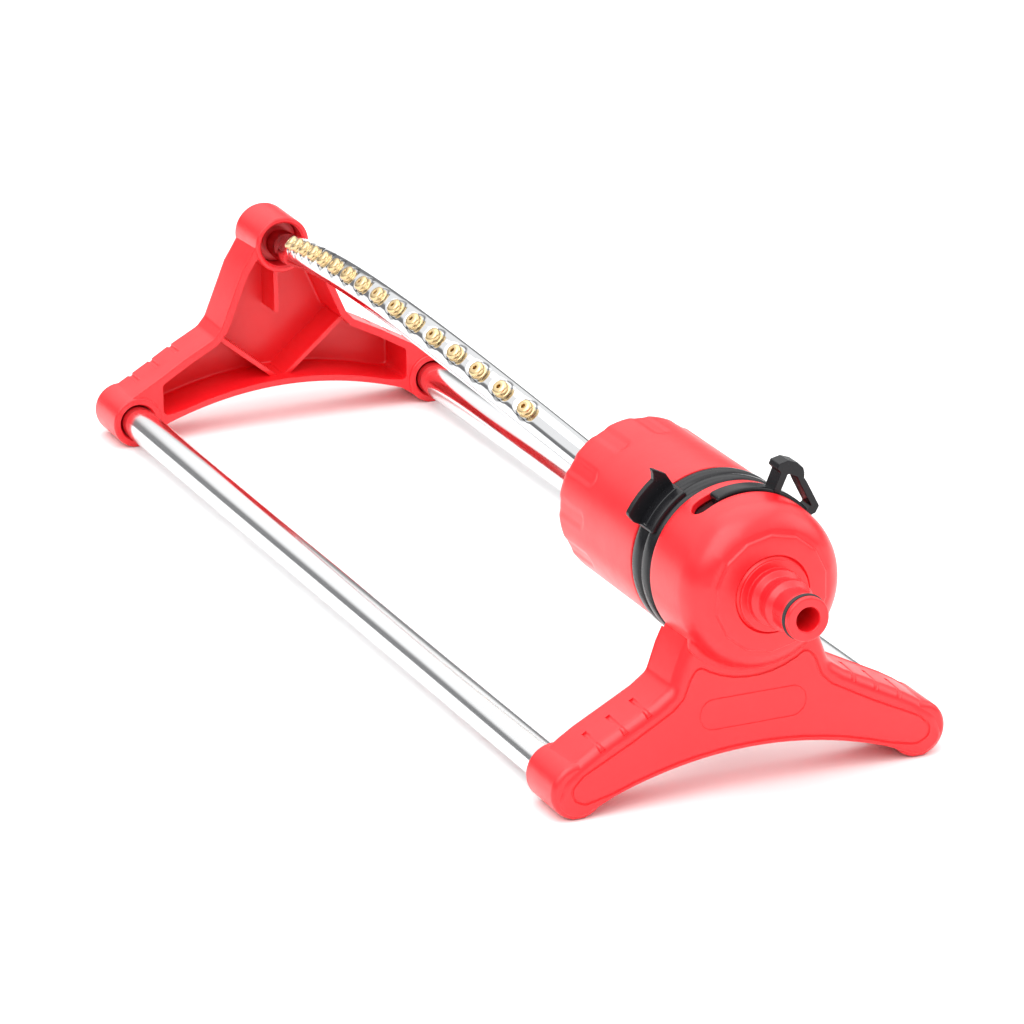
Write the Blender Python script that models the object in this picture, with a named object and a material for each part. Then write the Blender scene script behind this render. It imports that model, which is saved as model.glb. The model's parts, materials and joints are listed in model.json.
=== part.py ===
"""Oscillating garden sprinkler: two moulded feet on two base tubes, a water-driven drum with an arched
spray tube and brass nozzles, and two friction-held stop rings that set how far the spray swings.

All shapes are written in millimetres from one datum, the centre of the cap's rear rim: +Y runs from the
hose end to the far foot, +Z is up. The datum is then placed in the world, in metres."""

import math

import bmesh
import bpy
from mathutils import Matrix, Vector

MM = 0.001

# Where the datum sits: the object is centred on Y and stands on Z = 0.
AXIS_HEIGHT = 74.5
RIM_Y = -184.5
SWING = -41.8  # degrees the spray head is swung about +Y, towards -X

# Feet and base tubes
TUBE_SPACING = 126.0
TUBE_RADIUS = 6.6
TUBE_WALL = 0.9
BOSS_RADIUS = 10.0
BOSS_BORE = 6.9
FLAT_HALF_ANGLE = 12.0
FOOT_WALL = 2.5
FRONT_FOOT_Y = (-18.5, 1.5)
REAR_FOOT_Y = (402.0, 426.0)
TUBE_Y = (-14.0, 420.0)

# Cap, stop rings and drum
CAP_RADIUS = 29.2
CAP_INSIDE = 27.0
SKIRT_RADIUS = 25.5
SKIRT_INSIDE = 23.5
SLOT_ANGLES = (-37.0, 101.0)
SLOT_Y = (-12.8, -4.8)
BAND_RADIUS = 29.6
DRUM_RADIUS = 29.2
DRUM_INSIDE = 26.4
DRUM_Y = (14.6, 76.5)
FLUTES = 12

# Spray tube: a circular arch whose ends run out onto the swing axis
SPRAY_RADIUS = 5.9
SPRAY_NECK = 4.5  # swaged down where it enters the drum
SPRAY_WALL = 0.8
ARCH_RISE = 33.2
ARCH_MIDDLE = 245.3
ARCH_RADIUS = 310.0
ARCH_EASE = 4.0
SPRAY_Y = (58.0, 408.0)
NOZZLES = 16
FIRST_NOZZLE_Y = 137.4
NOZZLE_PITCH = 14.86  # along the tube

# Gear train, all module 1
MODULE = 1.0
FIXED_TEETH = 20
PINION_TEETH = 8
WHEEL_TEETH = 22
OUTPUT_AT = (14.0, 0.0)
IDLER_AT = (-0.95, 1.2)
TURBINE_AT = (-13.7, -6.7)
LEVER_AT = (0.0, 13.0)
PIN_RADIUS_AT = 22.7

SLOTS = {
    "red_plastic": ((0.86, 0.035, 0.045), 0.34, 0.0),
    "black_plastic": ((0.035, 0.036, 0.038), 0.38, 0.0),
    "polished_tube": ((0.90, 0.91, 0.92), 0.10, 1.0),
    "aluminium_tube": ((0.86, 0.87, 0.88), 0.26, 1.0),
    "brass": ((0.83, 0.62, 0.27), 0.22, 1.0),
    "rubber": ((0.02, 0.02, 0.02), 0.62, 0.0),
    "white_plastic": ((0.82, 0.81, 0.77), 0.40, 0.0),
    "spring_steel": ((0.62, 0.63, 0.65), 0.28, 1.0),
}


# ---------------------------------------------------------------- helpers


def clear_scene():
    for obj in list(bpy.data.objects):
        bpy.data.objects.remove(obj, do_unlink=True)


def make_materials():
    for name, (colour, roughness, metallic) in SLOTS.items():
        material = bpy.data.materials.new(name)
        material.use_nodes = True
        shader = material.node_tree.nodes["Principled BSDF"]
        shader.inputs["Base Color"].default_value = (*colour, 1.0)
        shader.inputs["Roughness"].default_value = roughness
        shader.inputs["Metallic"].default_value = metallic
        material.diffuse_color = (*colour, 1.0)


def make_empty(name, location, angle=0.0):
    empty = bpy.data.objects.new(name, None)
    empty.location = location
    empty.rotation_euler = (0.0, math.radians(angle), 0.0)
    bpy.context.scene.collection.objects.link(empty)
    return empty


def add(name, shape, parent, slot=None, at=(0.0, 0.0, 0.0)):
    """One object from (points in mm, faces). Without a slot it is a hidden guide."""
    points, faces = shape
    mesh = bpy.data.meshes.new(name)
    mesh.from_pydata([Vector(p) * MM for p in points], [], faces)
    work = bmesh.new()
    work.from_mesh(mesh)
    bmesh.ops.remove_doubles(work, verts=work.verts, dist=1e-7)
    bmesh.ops.recalc_face_normals(work, faces=work.faces)
    work.to_mesh(mesh)
    work.free()
    obj = bpy.data.objects.new(name, mesh)
    obj.location = Vector(at) * MM
    obj.parent = parent
    bpy.context.scene.collection.objects.link(obj)
    if slot is None:
        obj.hide_render = True
        obj.display_type = "WIRE"
    else:
        mesh.materials.append(bpy.data.materials[slot])
        mesh.set_sharp_from_angle(angle=math.radians(32))
    return obj


def boolean(target, operation, shapes, at=(0.0, 0.0, 0.0)):
    """Joins or cuts helper shapes, written in the target's own frame, with exact Booleans."""
    for shape in shapes:
        count = len(target.modifiers) + 1
        helper = add(f"{target.name}_{operation.lower()}_{count}", shape, target, at=at)
        modifier = target.modifiers.new(f"{operation.lower()}_{count}", "BOOLEAN")
        modifier.operation = operation
        modifier.solver = "EXACT"
        modifier.object = helper


def around(angle, radius, y, centre=(0.0, 0.0)):
    """A point at an angle in degrees from +Z towards +X."""
    turn = math.radians(angle)
    return (centre[0] + radius * math.sin(turn), y, centre[1] + radius * math.cos(turn))


def lathe(profile, segments, centre=(0.0, 0.0)):
    """Revolves a closed (radius, y) outline about the Y axis through centre."""
    points, rings, faces = [], [], []
    for radius, y in profile:
        count = 1 if radius == 0 else segments
        rings.append([len(points) + i for i in range(count)])
        points += [around(360 * i / segments, radius, y, centre) for i in range(count)]
    for first, second in zip(rings, rings[1:] + rings[:1]):
        if len(first) == 1 and len(second) == 1:
            continue
        for i in range(segments):
            j = (i + 1) % segments
            corners = [first[i % len(first)], first[j % len(first)]]
            corners += [second[j % len(second)], second[i % len(second)]]
            faces.append(list(dict.fromkeys(corners)))
    return points, faces


def prism(outline, y0, y1):
    """Extrudes a closed (x, z) outline from y0 to y1."""
    count = len(outline)
    points = [(x, y, z) for y in (y0, y1) for x, z in outline]
    faces = [list(range(count)), list(range(count, 2 * count))]
    for i in range(count):
        j = (i + 1) % count
        faces.append([i, j, count + j, count + i])
    return points, faces


def cylinder(radius, y0, y1, segments, centre=(0.0, 0.0)):
    return prism([around(360 * i / segments, radius, 0, centre)[::2] for i in range(segments)], y0, y1)


def sector(radii, angles, ys, steps):
    """A piece of a ring: between two radii, two angles in degrees and two y planes."""
    turns = [angles[0] + (angles[1] - angles[0]) * i / steps for i in range(steps + 1)]
    outline = [around(turn, radii[1], 0)[::2] for turn in turns]
    outline += [around(turn, radii[0], 0)[::2] for turn in reversed(turns)]
    return prism(outline, *ys)


def bar(start, end, width, ys):
    """A straight rib between two (x, z) points."""
    run = Vector((end[0] - start[0], end[1] - start[1]))
    side = Vector((-run.y, run.x)).normalized() * width / 2
    corners = [Vector(start) + side, Vector(end) + side, Vector(end) - side, Vector(start) - side]
    return prism([tuple(corner) for corner in corners], *ys)


def gear_outline(teeth, phase, centre=(0.0, 0.0)):
    """Straight-flanked teeth; one is centred on the phase angle."""
    pitch = 360 / teeth
    root = MODULE * (teeth / 2 - 1.25)
    tip = MODULE * (teeth / 2 + 0.9)
    outline = []
    for i in range(teeth):
        middle = phase + pitch * i
        for offset, radius in ((-0.25, root), (-0.1, tip), (0.1, tip), (0.25, root)):
            outline.append(around(middle + offset * pitch, radius, 0, centre)[::2])
    return outline


def mesh_phase(from_at, to_at):
    """The angle, in degrees from +Z, of the line from one gear's centre to the next one's."""
    return math.degrees(math.atan2(to_at[0] - from_at[0], to_at[1] - from_at[1]))


def sweep(path, frames, radii, segments, wall=None):
    """A round tube along a path, one radius to a point; with a wall it is hollow and open at both ends."""
    layers = [0.0] if wall is None else [0.0, wall]
    points, faces = [], []
    for depth in layers:
        for point, (side, up), radius in zip(path, frames, radii):
            for i in range(segments):
                turn = 2 * math.pi * i / segments
                points.append(point + (side * math.sin(turn) + up * math.cos(turn)) * (radius - depth))
    rows = len(path)
    for layer in range(len(layers)):
        for row in range(rows - 1):
            for i in range(segments):
                a = (layer * rows + row) * segments + i
                b = (layer * rows + row) * segments + (i + 1) % segments
                faces.append([a, b, b + segments, a + segments])
    for row in (0, rows - 1):
        ring = [row * segments + i for i in range(segments)]
        if wall is None:
            faces.append(ring)
            continue
        inner = [index + rows * segments for index in ring]
        for i in range(segments):
            j = (i + 1) % segments
            faces.append([ring[i], ring[j], inner[j], inner[i]])
    return points, faces


# ---------------------------------------------------------------- shared curves


def ease(t):
    t = min(max(t, 0.0), 1.0)
    return t * t * (3 - 2 * t)


def arch_height(y):
    """How far the spray tube's centre stands off the swing axis at y."""
    height = ARCH_RISE - (y - ARCH_MIDDLE) ** 2 / (2 * ARCH_RADIUS)
    softened = ARCH_EASE * math.log1p(math.exp(height / ARCH_EASE))
    return softened * ease((y - 76) / 28) * ease((402 - y) / 18)


def spray_radius(y):
    return SPRAY_NECK + (SPRAY_RADIUS - SPRAY_NECK) * ease((y - 90) / 14)


def arch_slope(y):
    return (arch_height(y + 0.5) - arch_height(y - 0.5)) / 1.0


def nozzle_stations():
    """The y of each nozzle, an equal pitch apart along the curved tube."""
    stations = [FIRST_NOZZLE_Y]
    while len(stations) < NOZZLES:
        y = stations[-1]
        for _ in range(8):
            y += NOZZLE_PITCH / 8 / math.hypot(1, arch_slope(y))
        stations.append(y)
    return stations


def mirrored(right):
    """Closes a right-hand outline with its mirror image."""
    return right + [(-x, z) for x, z in reversed(right)]


def foot_outline(shoulder, arch_rise):
    """A foot seen from the front: shoulder points from the top down, a round boss with a flat to stand on, the arch."""
    half = TUBE_SPACING / 2
    drop = BOSS_RADIUS - AXIS_HEIGHT
    right = list(shoulder)
    right += [around(angle, BOSS_RADIUS, 0, (half, drop))[::2] for angle in range(40, 161, 20)]
    flat = BOSS_RADIUS * math.tan(math.radians(FLAT_HALF_ANGLE))
    right += [(half + flat, -AXIS_HEIGHT), (half - flat, -AXIS_HEIGHT)]
    for x in (54, 44, 33, 22, 11):
        right.append((x, arch_rise - x * x / 285 - AXIS_HEIGHT))
    middle = [(0.0, arch_rise - AXIS_HEIGHT)]
    return right + middle + [(-x, z) for x, z in reversed(right)]


def boss_centres():
    return [(side * TUBE_SPACING / 2, BOSS_RADIUS - AXIS_HEIGHT) for side in (-1, 1)]


def shoulder_notches(points, ys):
    """Three grip notches across each sloping shoulder."""
    cuts = []
    for x, z in points:
        for side in (-1, 1):
            cuts.append(cylinder(1.7, *ys, 8, (side * x, z)))
    return cuts


# ---------------------------------------------------------------- fixed parts


def make_front_foot(frame):
    """Foot, cap and the skirt the rear stop ring turns on, moulded as one."""
    shoulder = [(22.0, -14.0), (26.6, -23.5), (30.2, -33.6), (36.0, -37.8), (47.0, -43.6), (57.0, -48.8), (66.0, -55.2)]
    outline = foot_outline(shoulder, 14.2)
    foot = add("front_foot", prism(outline, *FRONT_FOOT_Y), frame, "red_plastic")
    right = [(26.5, -36.5), (35.4, -40.6), (46.0, -46.6), (52.0, -50.0), (52.0, -65.6)]
    hollow = mirrored(right + [(x, 16.8 - x * x / 285 - AXIS_HEIGHT) for x in (44, 33, 22, 11)])
    boolean(foot, "DIFFERENCE", [prism(hollow, FRONT_FOOT_Y[0] + FOOT_WALL, FRONT_FOOT_Y[1] + 3)])
    cap = [(0, -33.0), (13.0, -33.0), (19.6, -32.3), (21.4, -31.5), (24.8, -29.0), (27.4, -25.0), (28.9, -19.0)]
    cap += [(CAP_RADIUS, -10.0), (CAP_RADIUS, 0.0), (SKIRT_RADIUS, 0.0), (SKIRT_RADIUS, 11.2), (0, 11.2)]
    bosses = [cylinder(BOSS_RADIUS - 0.1, FRONT_FOOT_Y[0] + 0.6, FRONT_FOOT_Y[1] + 3.0, 24, c) for c in boss_centres()]
    ribs = [bar((side * 30.0, -37.0), (side * 4.0, -60.6), 2.0, (-17.0, 0.8)) for side in (-1, 1)]
    boolean(foot, "UNION", bosses + ribs)
    boolean(foot, "DIFFERENCE", [cylinder(BAND_RADIUS + 0.8, 0.0, 8.0, 40)])
    boolean(foot, "UNION", [lathe(cap, 40)])
    cavity = [(0, -27.0), (CAP_INSIDE - 4.0, -27.0), (CAP_INSIDE, -22.0), (CAP_INSIDE, -3.0), (SKIRT_INSIDE, -2.0)]
    cavity += [(SKIRT_INSIDE, 14.0), (0, 14.0)]
    bores = [cylinder(BOSS_BORE, TUBE_Y[0] - 0.5, 9.0, 20, centre) for centre in boss_centres()]
    slot = sector((CAP_INSIDE - 0.6, CAP_RADIUS + 2), SLOT_ANGLES, SLOT_Y, 20)
    boolean(foot, "DIFFERENCE", [lathe(cavity, 40), cylinder(9.8, -36.0, -20.0, 24), slot] + bores)
    notches = shoulder_notches(((39.5, -38.4), (46.5, -42.4), (53.5, -46.2)), (FRONT_FOOT_Y[0] - 1, FRONT_FOOT_Y[0] + 9))
    boolean(foot, "DIFFERENCE", notches)


def make_rear_foot(frame):
    """Far foot: a hollow, ribbed shell open towards the hose end, with the hub that carries the spray tube."""
    shoulder = [(9.0, 4.0), (13.5, -3.5), (17.4, -9.5), (22.8, -22.5), (26.6, -31.5), (29.6, -35.0), (41.5, -41.2)]
    shoulder += [(52.0, -47.4), (62.0, -53.6), (67.5, -56.0)]
    outline = foot_outline(shoulder, 16.3)
    foot = add("rear_foot", prism(outline, *REAR_FOOT_Y), frame, "red_plastic")
    back = REAR_FOOT_Y[1] - FOOT_WALL
    upper = [(6.0, -2.0), (11.2, -5.4), (15.0, -11.0), (20.3, -23.5), (24.3, -33.0), (28.4, -37.6), (40.5, -44.0)]
    upper += [(52.0, -50.8), (52.0, -63.8)]
    arch = [(x, 18.9 - x * x / 285 - AXIS_HEIGHT) for x in (44, 33, 22, 11)]
    boolean(foot, "DIFFERENCE", [prism(mirrored(upper + arch), REAR_FOOT_Y[0] - 3, back)])
    bosses = [cylinder(BOSS_RADIUS - 0.1, REAR_FOOT_Y[0] - 0.8, REAR_FOOT_Y[1] - 0.6, 24, c) for c in boss_centres()]
    ribs = [bar((side * 27.5, -35.0), (side * 1.0, -58.0), 2.0, (408.0, back + 1)) for side in (-1, 1)]
    ribs.append(prism([(-1.0, -30.0), (1.0, -30.0), (1.0, -8.0), (-1.0, -8.0)], 410.0, back + 1))
    hub = [(0, 401.2), (11.2, 401.2), (11.4, 424.0), (9.4, 427.2), (5.0, 428.0), (0, 428.0)]
    boolean(foot, "UNION", bosses + ribs + [lathe(hub, 32)])
    bores = [cylinder(BOSS_BORE, 392.0, TUBE_Y[1] + 0.5, 20, centre) for centre in boss_centres()]
    boolean(foot, "DIFFERENCE", bores + [cylinder(8.8, 395.0, 421.0, 30)])
    notches = shoulder_notches(((41.0, -39.6), (47.5, -43.4), (54.0, -47.2)), (REAR_FOOT_Y[1] - 9, REAR_FOOT_Y[1] + 1))
    boolean(foot, "DIFFERENCE", notches)


def make_base_tubes(frame):
    outer, inner = TUBE_RADIUS, TUBE_RADIUS - TUBE_WALL
    profile = [(outer, TUBE_Y[0]), (outer, TUBE_Y[1]), (inner, TUBE_Y[1]), (inner, TUBE_Y[0])]
    for name, (x, z) in zip(("base_tube_left", "base_tube_right"), boss_centres()):
        add(name, lathe(profile, 24), frame, "aluminium_tube", at=(x, 0, z))


def make_inlet(frame):
    """Hose connector, its seals and filter, and the hollow spindle the drum turns on."""
    body = [(4.2, -59.0), (7.1, -59.0), (7.7, -58.4), (7.7, -57.2), (5.7, -57.1), (5.7, -54.5), (7.5, -54.4)]
    body += [(7.4, -47.2), (8.9, -45.4), (8.9, -43.6), (7.9, -42.2), (7.9, -38.6), (9.8, -37.2), (9.8, -34.6)]
    body += [(12.5, -34.6), (12.5, -33.4), (9.5, -33.4), (9.5, -27.3), (6.0, -27.3), (6.0, -38.0), (4.2, -38.0)]
    add("hose_connector", lathe(body, 24), frame, "red_plastic")
    torus_ring("connector_oring", frame, 7.05, 0.95, -55.8, 22)
    cup = [(5.7, -37.2), (5.7, -28.0), (4.9, -28.0), (4.9, -36.4), (0, -36.4), (0, -37.2)]
    add("inlet_filter", lathe(cup, 16), frame, "white_plastic")
    washer = [(5.0, -26.9), (9.3, -26.9), (9.3, -25.5), (5.0, -25.5)]
    add("inlet_washer", lathe(washer, 20), frame, "rubber")
    shaft = [(9.7, -26.6), (14.0, -26.6), (14.0, -23.2), (6.4, -22.0), (6.0, -18.0), (6.0, 15.2), (5.2, 15.4)]
    shaft += [(5.2, 17.0), (6.0, 17.2), (6.0, 19.6), (5.0, 19.8), (5.0, 27.0), (3.9, 27.0), (3.9, -25.2), (9.7, -25.2)]
    add("inlet_spindle", lathe(shaft, 20), frame, "white_plastic")
    torus_ring("spindle_seal", frame, 6.15, 0.62, 16.2, 16)


def torus_ring(name, frame, radius, thickness, y, segments):
    profile = [(radius + thickness * math.cos(t), y + thickness * math.sin(t)) for t in (0, 1.257, 2.513, 3.770, 5.027)]
    add(name, lathe(profile, segments), frame, "rubber")


def make_fixed_gear(frame):
    """Held on the spindle; the spray head's output pinion walks round it."""
    world_phase = SWING + mesh_phase((0, 0), OUTPUT_AT)
    gear = add("fixed_gear", prism(gear_outline(FIXED_TEETH, world_phase), 20.2, 25.0), frame, "white_plastic")
    boolean(gear, "DIFFERENCE", [cylinder(5.3, 15.0, 30.0, 20)])


def make_rear_bush(frame):
    profile = [(8.5, 409.5), (8.5, 420.5), (4.8, 420.5), (4.8, 409.5)]
    add("rear_bush", lathe(profile, 24), frame, "red_plastic")


# ---------------------------------------------------------------- stop rings


def make_rear_stop(frame):
    """Black double band between cap and drum, with the left finger tab and an inner lug."""
    band = [(BAND_RADIUS, 0.4), (BAND_RADIUS, 6.9), (BAND_RADIUS - 0.6, 7.3), (BAND_RADIUS, 7.7), (BAND_RADIUS, 14.2)]
    band += [(25.8, 14.2), (25.8, 0.4)]
    ring = add("stop_ring_rear", lathe(band, 40), frame, "black_plastic")
    tab = [around(angle, 36.6, 0)[::2] for angle in (-60, -54, -48, -42, -37)]
    tab += [around(-34.5, 40.4, 0)[::2], around(-30, 36.0, 0)[::2], around(-30, 31.0, 0)[::2]]
    tab += [around(angle, 28.4, 0)[::2] for angle in (-30, -38, -46, -54, -62)] + [around(-62, 33.5, 0)[::2]]
    base = sector((28.1, 31.2), (-62.7, -29.2), (2.0, 12.6), 6)
    lug = sector((21.5, 26.6), (-70, -64), (11.6, 13.9), 2)
    boolean(ring, "UNION", [base, prism(tab, 10.6, 13.2), lug])


def make_front_stop(frame):
    """Ring inside the cap: its arc strip and hooked tab stand out through the slot."""
    band = [(26.6, -12.4), (26.6, -5.2), (24.6, -5.2), (24.6, -12.4)]
    ring = add("stop_ring_front", lathe(band, 40), frame, "black_plastic")
    strip = sector((26.0, 30.2), (-20, 56.5), (-12.1, -5.5), 14)
    hook = [around(21, 29.6, 0), around(20, 37.4, 0), around(23, 40.2, 0), around(28, 40.8, 0), around(33, 39.8, 0)]
    hook += [around(37, 37.6, 0), around(54, 33.9, 0), around(56, 31.3, 0), around(54, 29.6, 0), around(50, 29.6, 0)]
    hook += [around(50.5, 31.7, 0), around(35, 34.8, 0), around(31, 36.8, 0), around(25, 36.2, 0), around(25.5, 29.6, 0)]
    tab = prism([point[::2] for point in hook], -12.2, -5.4)
    finger = sector((21.2, 23.2), (64, 70), (-12.0, 13.4), 2)
    web = sector((21.8, 25.4), (63, 71), (-11.8, -5.6), 2)
    boolean(ring, "UNION", [strip, tab, web, finger])


# ---------------------------------------------------------------- spray head


def make_drum(head):
    y0, y1 = DRUM_Y
    profile = [(DRUM_RADIUS, y0), (DRUM_RADIUS, y1 - 4.0), (27.9, y1 - 1.4), (25.4, y1), (10.0, y1), (10.0, y1 + 1.6)]
    profile += [(4.9, y1 + 1.6), (4.9, y1 - 14.5), (9.0, y1 - 14.5), (9.0, y1 - 3.0), (25.0, y1 - 3.0)]
    profile += [(DRUM_INSIDE, y1 - 5.0), (DRUM_INSIDE, y0)]
    drum = add("drum_housing", lathe(profile, 44), head, "red_plastic")
    flutes = []
    for i in range(FLUTES):
        angle = 360 * (i + 0.5) / FLUTES
        flutes.append(sector((DRUM_RADIUS - 0.7, DRUM_RADIUS + 3), (angle - 7, angle + 7), (y1 - 20, y1 + 3), 2))
    boolean(drum, "DIFFERENCE", flutes)


def make_plates(head):
    """Front plate, gear plate and jet plate, all fixed in the drum."""
    window = sector((20.6, 24.8), (-9.5, 9.5), (10.0, 45.0), 4)
    front = [(26.1, 15.0), (26.1, 17.6), (7.1, 17.6), (7.1, 15.0)]
    plate = add("drum_front_plate", lathe(front, 36), head, "white_plastic")
    boolean(plate, "DIFFERENCE", [window, cylinder(1.7, 12.0, 20.0, 10, OUTPUT_AT)])
    plate = add("gear_plate", cylinder(26.1, 38.2, 40.4, 36), head, "white_plastic")
    holes = [cylinder(1.7, 36.0, 43.0, 10, centre) for centre in (OUTPUT_AT, IDLER_AT, TURBINE_AT, LEVER_AT)]
    vents = [cylinder(3.2, 36.0, 43.0, 12, centre) for centre in ((10.0, -17.0), (-4.0, -19.0), (19.0, 10.0))]
    boolean(plate, "DIFFERENCE", [window] + holes + vents)
    plate = add("jet_plate", cylinder(26.1, 51.4, 53.4, 36), head, "white_plastic")
    jets = [cylinder(1.8, 48.0, 56.0, 10, centre) for centre in ((-6.6, -7.2), (-20.6, -7.2))]
    holes = [cylinder(1.7, 48.0, 56.0, 10, centre) for centre in (TURBINE_AT, LEVER_AT)]
    boolean(plate, "DIFFERENCE", jets + holes + [cylinder(4.0, 48.0, 56.0, 14, (12.0, 4.0))])


def spray_frames(ys):
    """Centres and cross-section axes of the spray tube at each y."""
    path, frames = [], []
    for y in ys:
        path.append(Vector((0.0, y, arch_height(y))))
        tangent = Vector((0.0, 1.0, arch_slope(y))).normalized()
        side = Vector((1.0, 0.0, 0.0))
        frames.append((side, side.cross(tangent)))
    return path, frames


def make_spray_tube(head):
    ys = [SPRAY_Y[0], 84.0, 91.0, 97.0, 103.0]
    ys += [103 + 8.8 * i for i in range(1, 34)]
    ys += [398.0, SPRAY_Y[1]]
    path, frames = spray_frames(ys)
    tube = add("spray_tube", sweep(path, frames, [spray_radius(y) for y in ys], 14, SPRAY_WALL), head, "polished_tube")
    holes = []
    for y in nozzle_stations():
        turn = Matrix.Rotation(math.atan(arch_slope(y)), 3, "X")
        points, faces = lathe([(0, 3.0), (2.0, 3.0), (2.0, 9.0), (0, 9.0)], 6)
        middle = Vector((0.0, y, arch_height(y)))
        upright = [turn @ Vector((p[0], -p[2], p[1])) + middle for p in points]
        holes.append((upright, faces))
    boolean(tube, "DIFFERENCE", holes)


def make_nozzles(head):
    """Sixteen brass nozzles standing square on the arched tube, each on its own frame."""
    profile = [(0, 4.2), (1.6, 4.2), (1.6, 6.25), (2.9, 6.25), (2.9, 7.1), (2.0, 7.9), (0.75, 7.9), (0.5, 6.6), (0, 6.6)]
    points, faces = lathe(profile, 8)
    upright = [(p[0], -p[2], p[1]) for p in points]
    for number, y in enumerate(nozzle_stations(), 1):
        nozzle = add(f"nozzle_{number:02d}", (upright, faces), head, "brass", at=(0, y, arch_height(y)))
        nozzle.rotation_euler = (math.atan(arch_slope(y)), 0, 0)


def make_tube_ends(head):
    seal_ring = [(4.9, 59.0), (7.6, 59.0), (7.6, 61.6), (4.9, 61.6)]
    add("tube_seal", lathe(seal_ring, 20), head, "rubber")
    plug = [(0, 400.0), (4.8, 400.0), (4.8, 408.3), (7.4, 408.3), (7.4, 409.1), (4.5, 409.1), (4.5, 419.0), (0, 419.0)]
    add("tube_end_plug", lathe(plug, 20), head, "red_plastic")


def make_toggle_spring(head):
    """Hairpin between the lever's foot and the gear plate."""
    path = [Vector((9.0, 41.6, 4.0)), Vector((9.0, 48.6, 4.0)), Vector((5.4, 49.8, 6.0)), Vector((3.2, 48.8, 7.6))]
    path.append(Vector((3.2, 43.0, 7.6)))
    frames = []
    for i, point in enumerate(path):
        run = (path[min(i + 1, 4)] - path[max(i - 1, 0)]).normalized()
        side = run.cross(Vector((0.6, 0.0, 0.8))).normalized()
        frames.append((side, side.cross(run)))
    add("toggle_spring", sweep(path, frames, [0.45] * 5, 8), head, "spring_steel")


# ---------------------------------------------------------------- moving works


def make_output_gear(head):
    """Walks round the fixed gear: small pinion in front, wheel behind."""
    gap = 180 / PINION_TEETH
    inward = mesh_phase(OUTPUT_AT, (0, 0))
    axle = add("output_gear", cylinder(1.4, 15.3, 40.2, 10), head, "white_plastic", at=(OUTPUT_AT[0], 0, OUTPUT_AT[1]))
    pinion = prism(gear_outline(PINION_TEETH, inward + gap), 20.2, 25.0)
    wheel = prism(gear_outline(WHEEL_TEETH, mesh_phase(OUTPUT_AT, IDLER_AT)), 29.0, 32.0)
    boolean(axle, "UNION", [pinion, wheel])


def make_idler_gear(head):
    gap = 180 / PINION_TEETH
    axle = add("idler_gear", cylinder(1.4, 28.2, 40.2, 10), head, "white_plastic", at=(IDLER_AT[0], 0, IDLER_AT[1]))
    pinion = prism(gear_outline(PINION_TEETH, mesh_phase(IDLER_AT, OUTPUT_AT) + gap), 28.8, 32.2)
    wheel = prism(gear_outline(WHEEL_TEETH, mesh_phase(IDLER_AT, TURBINE_AT)), 33.6, 36.8)
    boolean(axle, "UNION", [pinion, wheel])


def make_turbine(head):
    gap = 180 / PINION_TEETH
    at = (TURBINE_AT[0], 0, TURBINE_AT[1])
    axle = add("turbine", cylinder(1.4, 32.6, 53.0, 10), head, "white_plastic", at=at)
    pinion = prism(gear_outline(PINION_TEETH, mesh_phase(TURBINE_AT, IDLER_AT) + gap), 33.8, 36.6)
    hub = cylinder(5.0, 42.6, 49.4, 20)
    blades = [bar(around(a, 4.0, 0)[::2], around(a + 10, 10.2, 0)[::2], 1.0, (43.0, 49.0)) for a in range(0, 360, 36)]
    boolean(axle, "UNION", [pinion, hub] + blades)


def make_reversing_lever(head):
    """Tipped by the stop rings' lugs; its lower end turns the jets to the turbine's other side."""
    arm_top = PIN_RADIUS_AT - LEVER_AT[1]
    at = (LEVER_AT[0], 0, LEVER_AT[1])
    lever = add("reversing_lever", cylinder(1.3, 38.6, 53.0, 10), head, "white_plastic", at=at)
    arm = bar((0.0, -8.0), (0.0, arm_top + 1.6), 3.2, (43.4, 46.2))
    flap = bar((-1.0, -7.0), (-7.0, -7.8), 2.4, (43.2, 46.4))
    pin = cylinder(1.3, 11.9, 46.0, 12, (0.0, arm_top))
    boolean(lever, "UNION", [arm, flap, pin])


def main():
    clear_scene()
    make_materials()
    datum = (0.0, RIM_Y * MM, AXIS_HEIGHT * MM)
    base = make_empty("base_frame", datum)
    make_front_foot(base)
    make_rear_foot(base)
    make_base_tubes(base)
    make_inlet(base)
    make_fixed_gear(base)
    make_rear_bush(base)
    make_rear_stop(make_empty("rear_stop_axis", datum))
    make_front_stop(make_empty("front_stop_axis", datum))
    head = make_empty("spray_axis", datum, SWING)
    make_drum(head)
    make_plates(head)
    make_spray_tube(head)
    make_nozzles(head)
    make_tube_ends(head)
    make_toggle_spring(head)
    make_output_gear(head)
    make_idler_gear(head)
    make_turbine(head)
    make_reversing_lever(head)


main()
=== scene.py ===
# %% [markdown]
# # An oscillating garden sprinkler
# Two moulded feet stand on a pair of aluminium base tubes. Water from the hose turns a small
# turbine inside the red drum, and the drum rocks an arched spray tube with sixteen brass nozzles
# from side to side. The working model is already there as plain solids. This lesson dresses it:
# each cell makes one piece of the real object, or one of its finishes.

import json
import math

import bmesh
import bpy
from mathutils import Matrix, Vector

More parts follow.
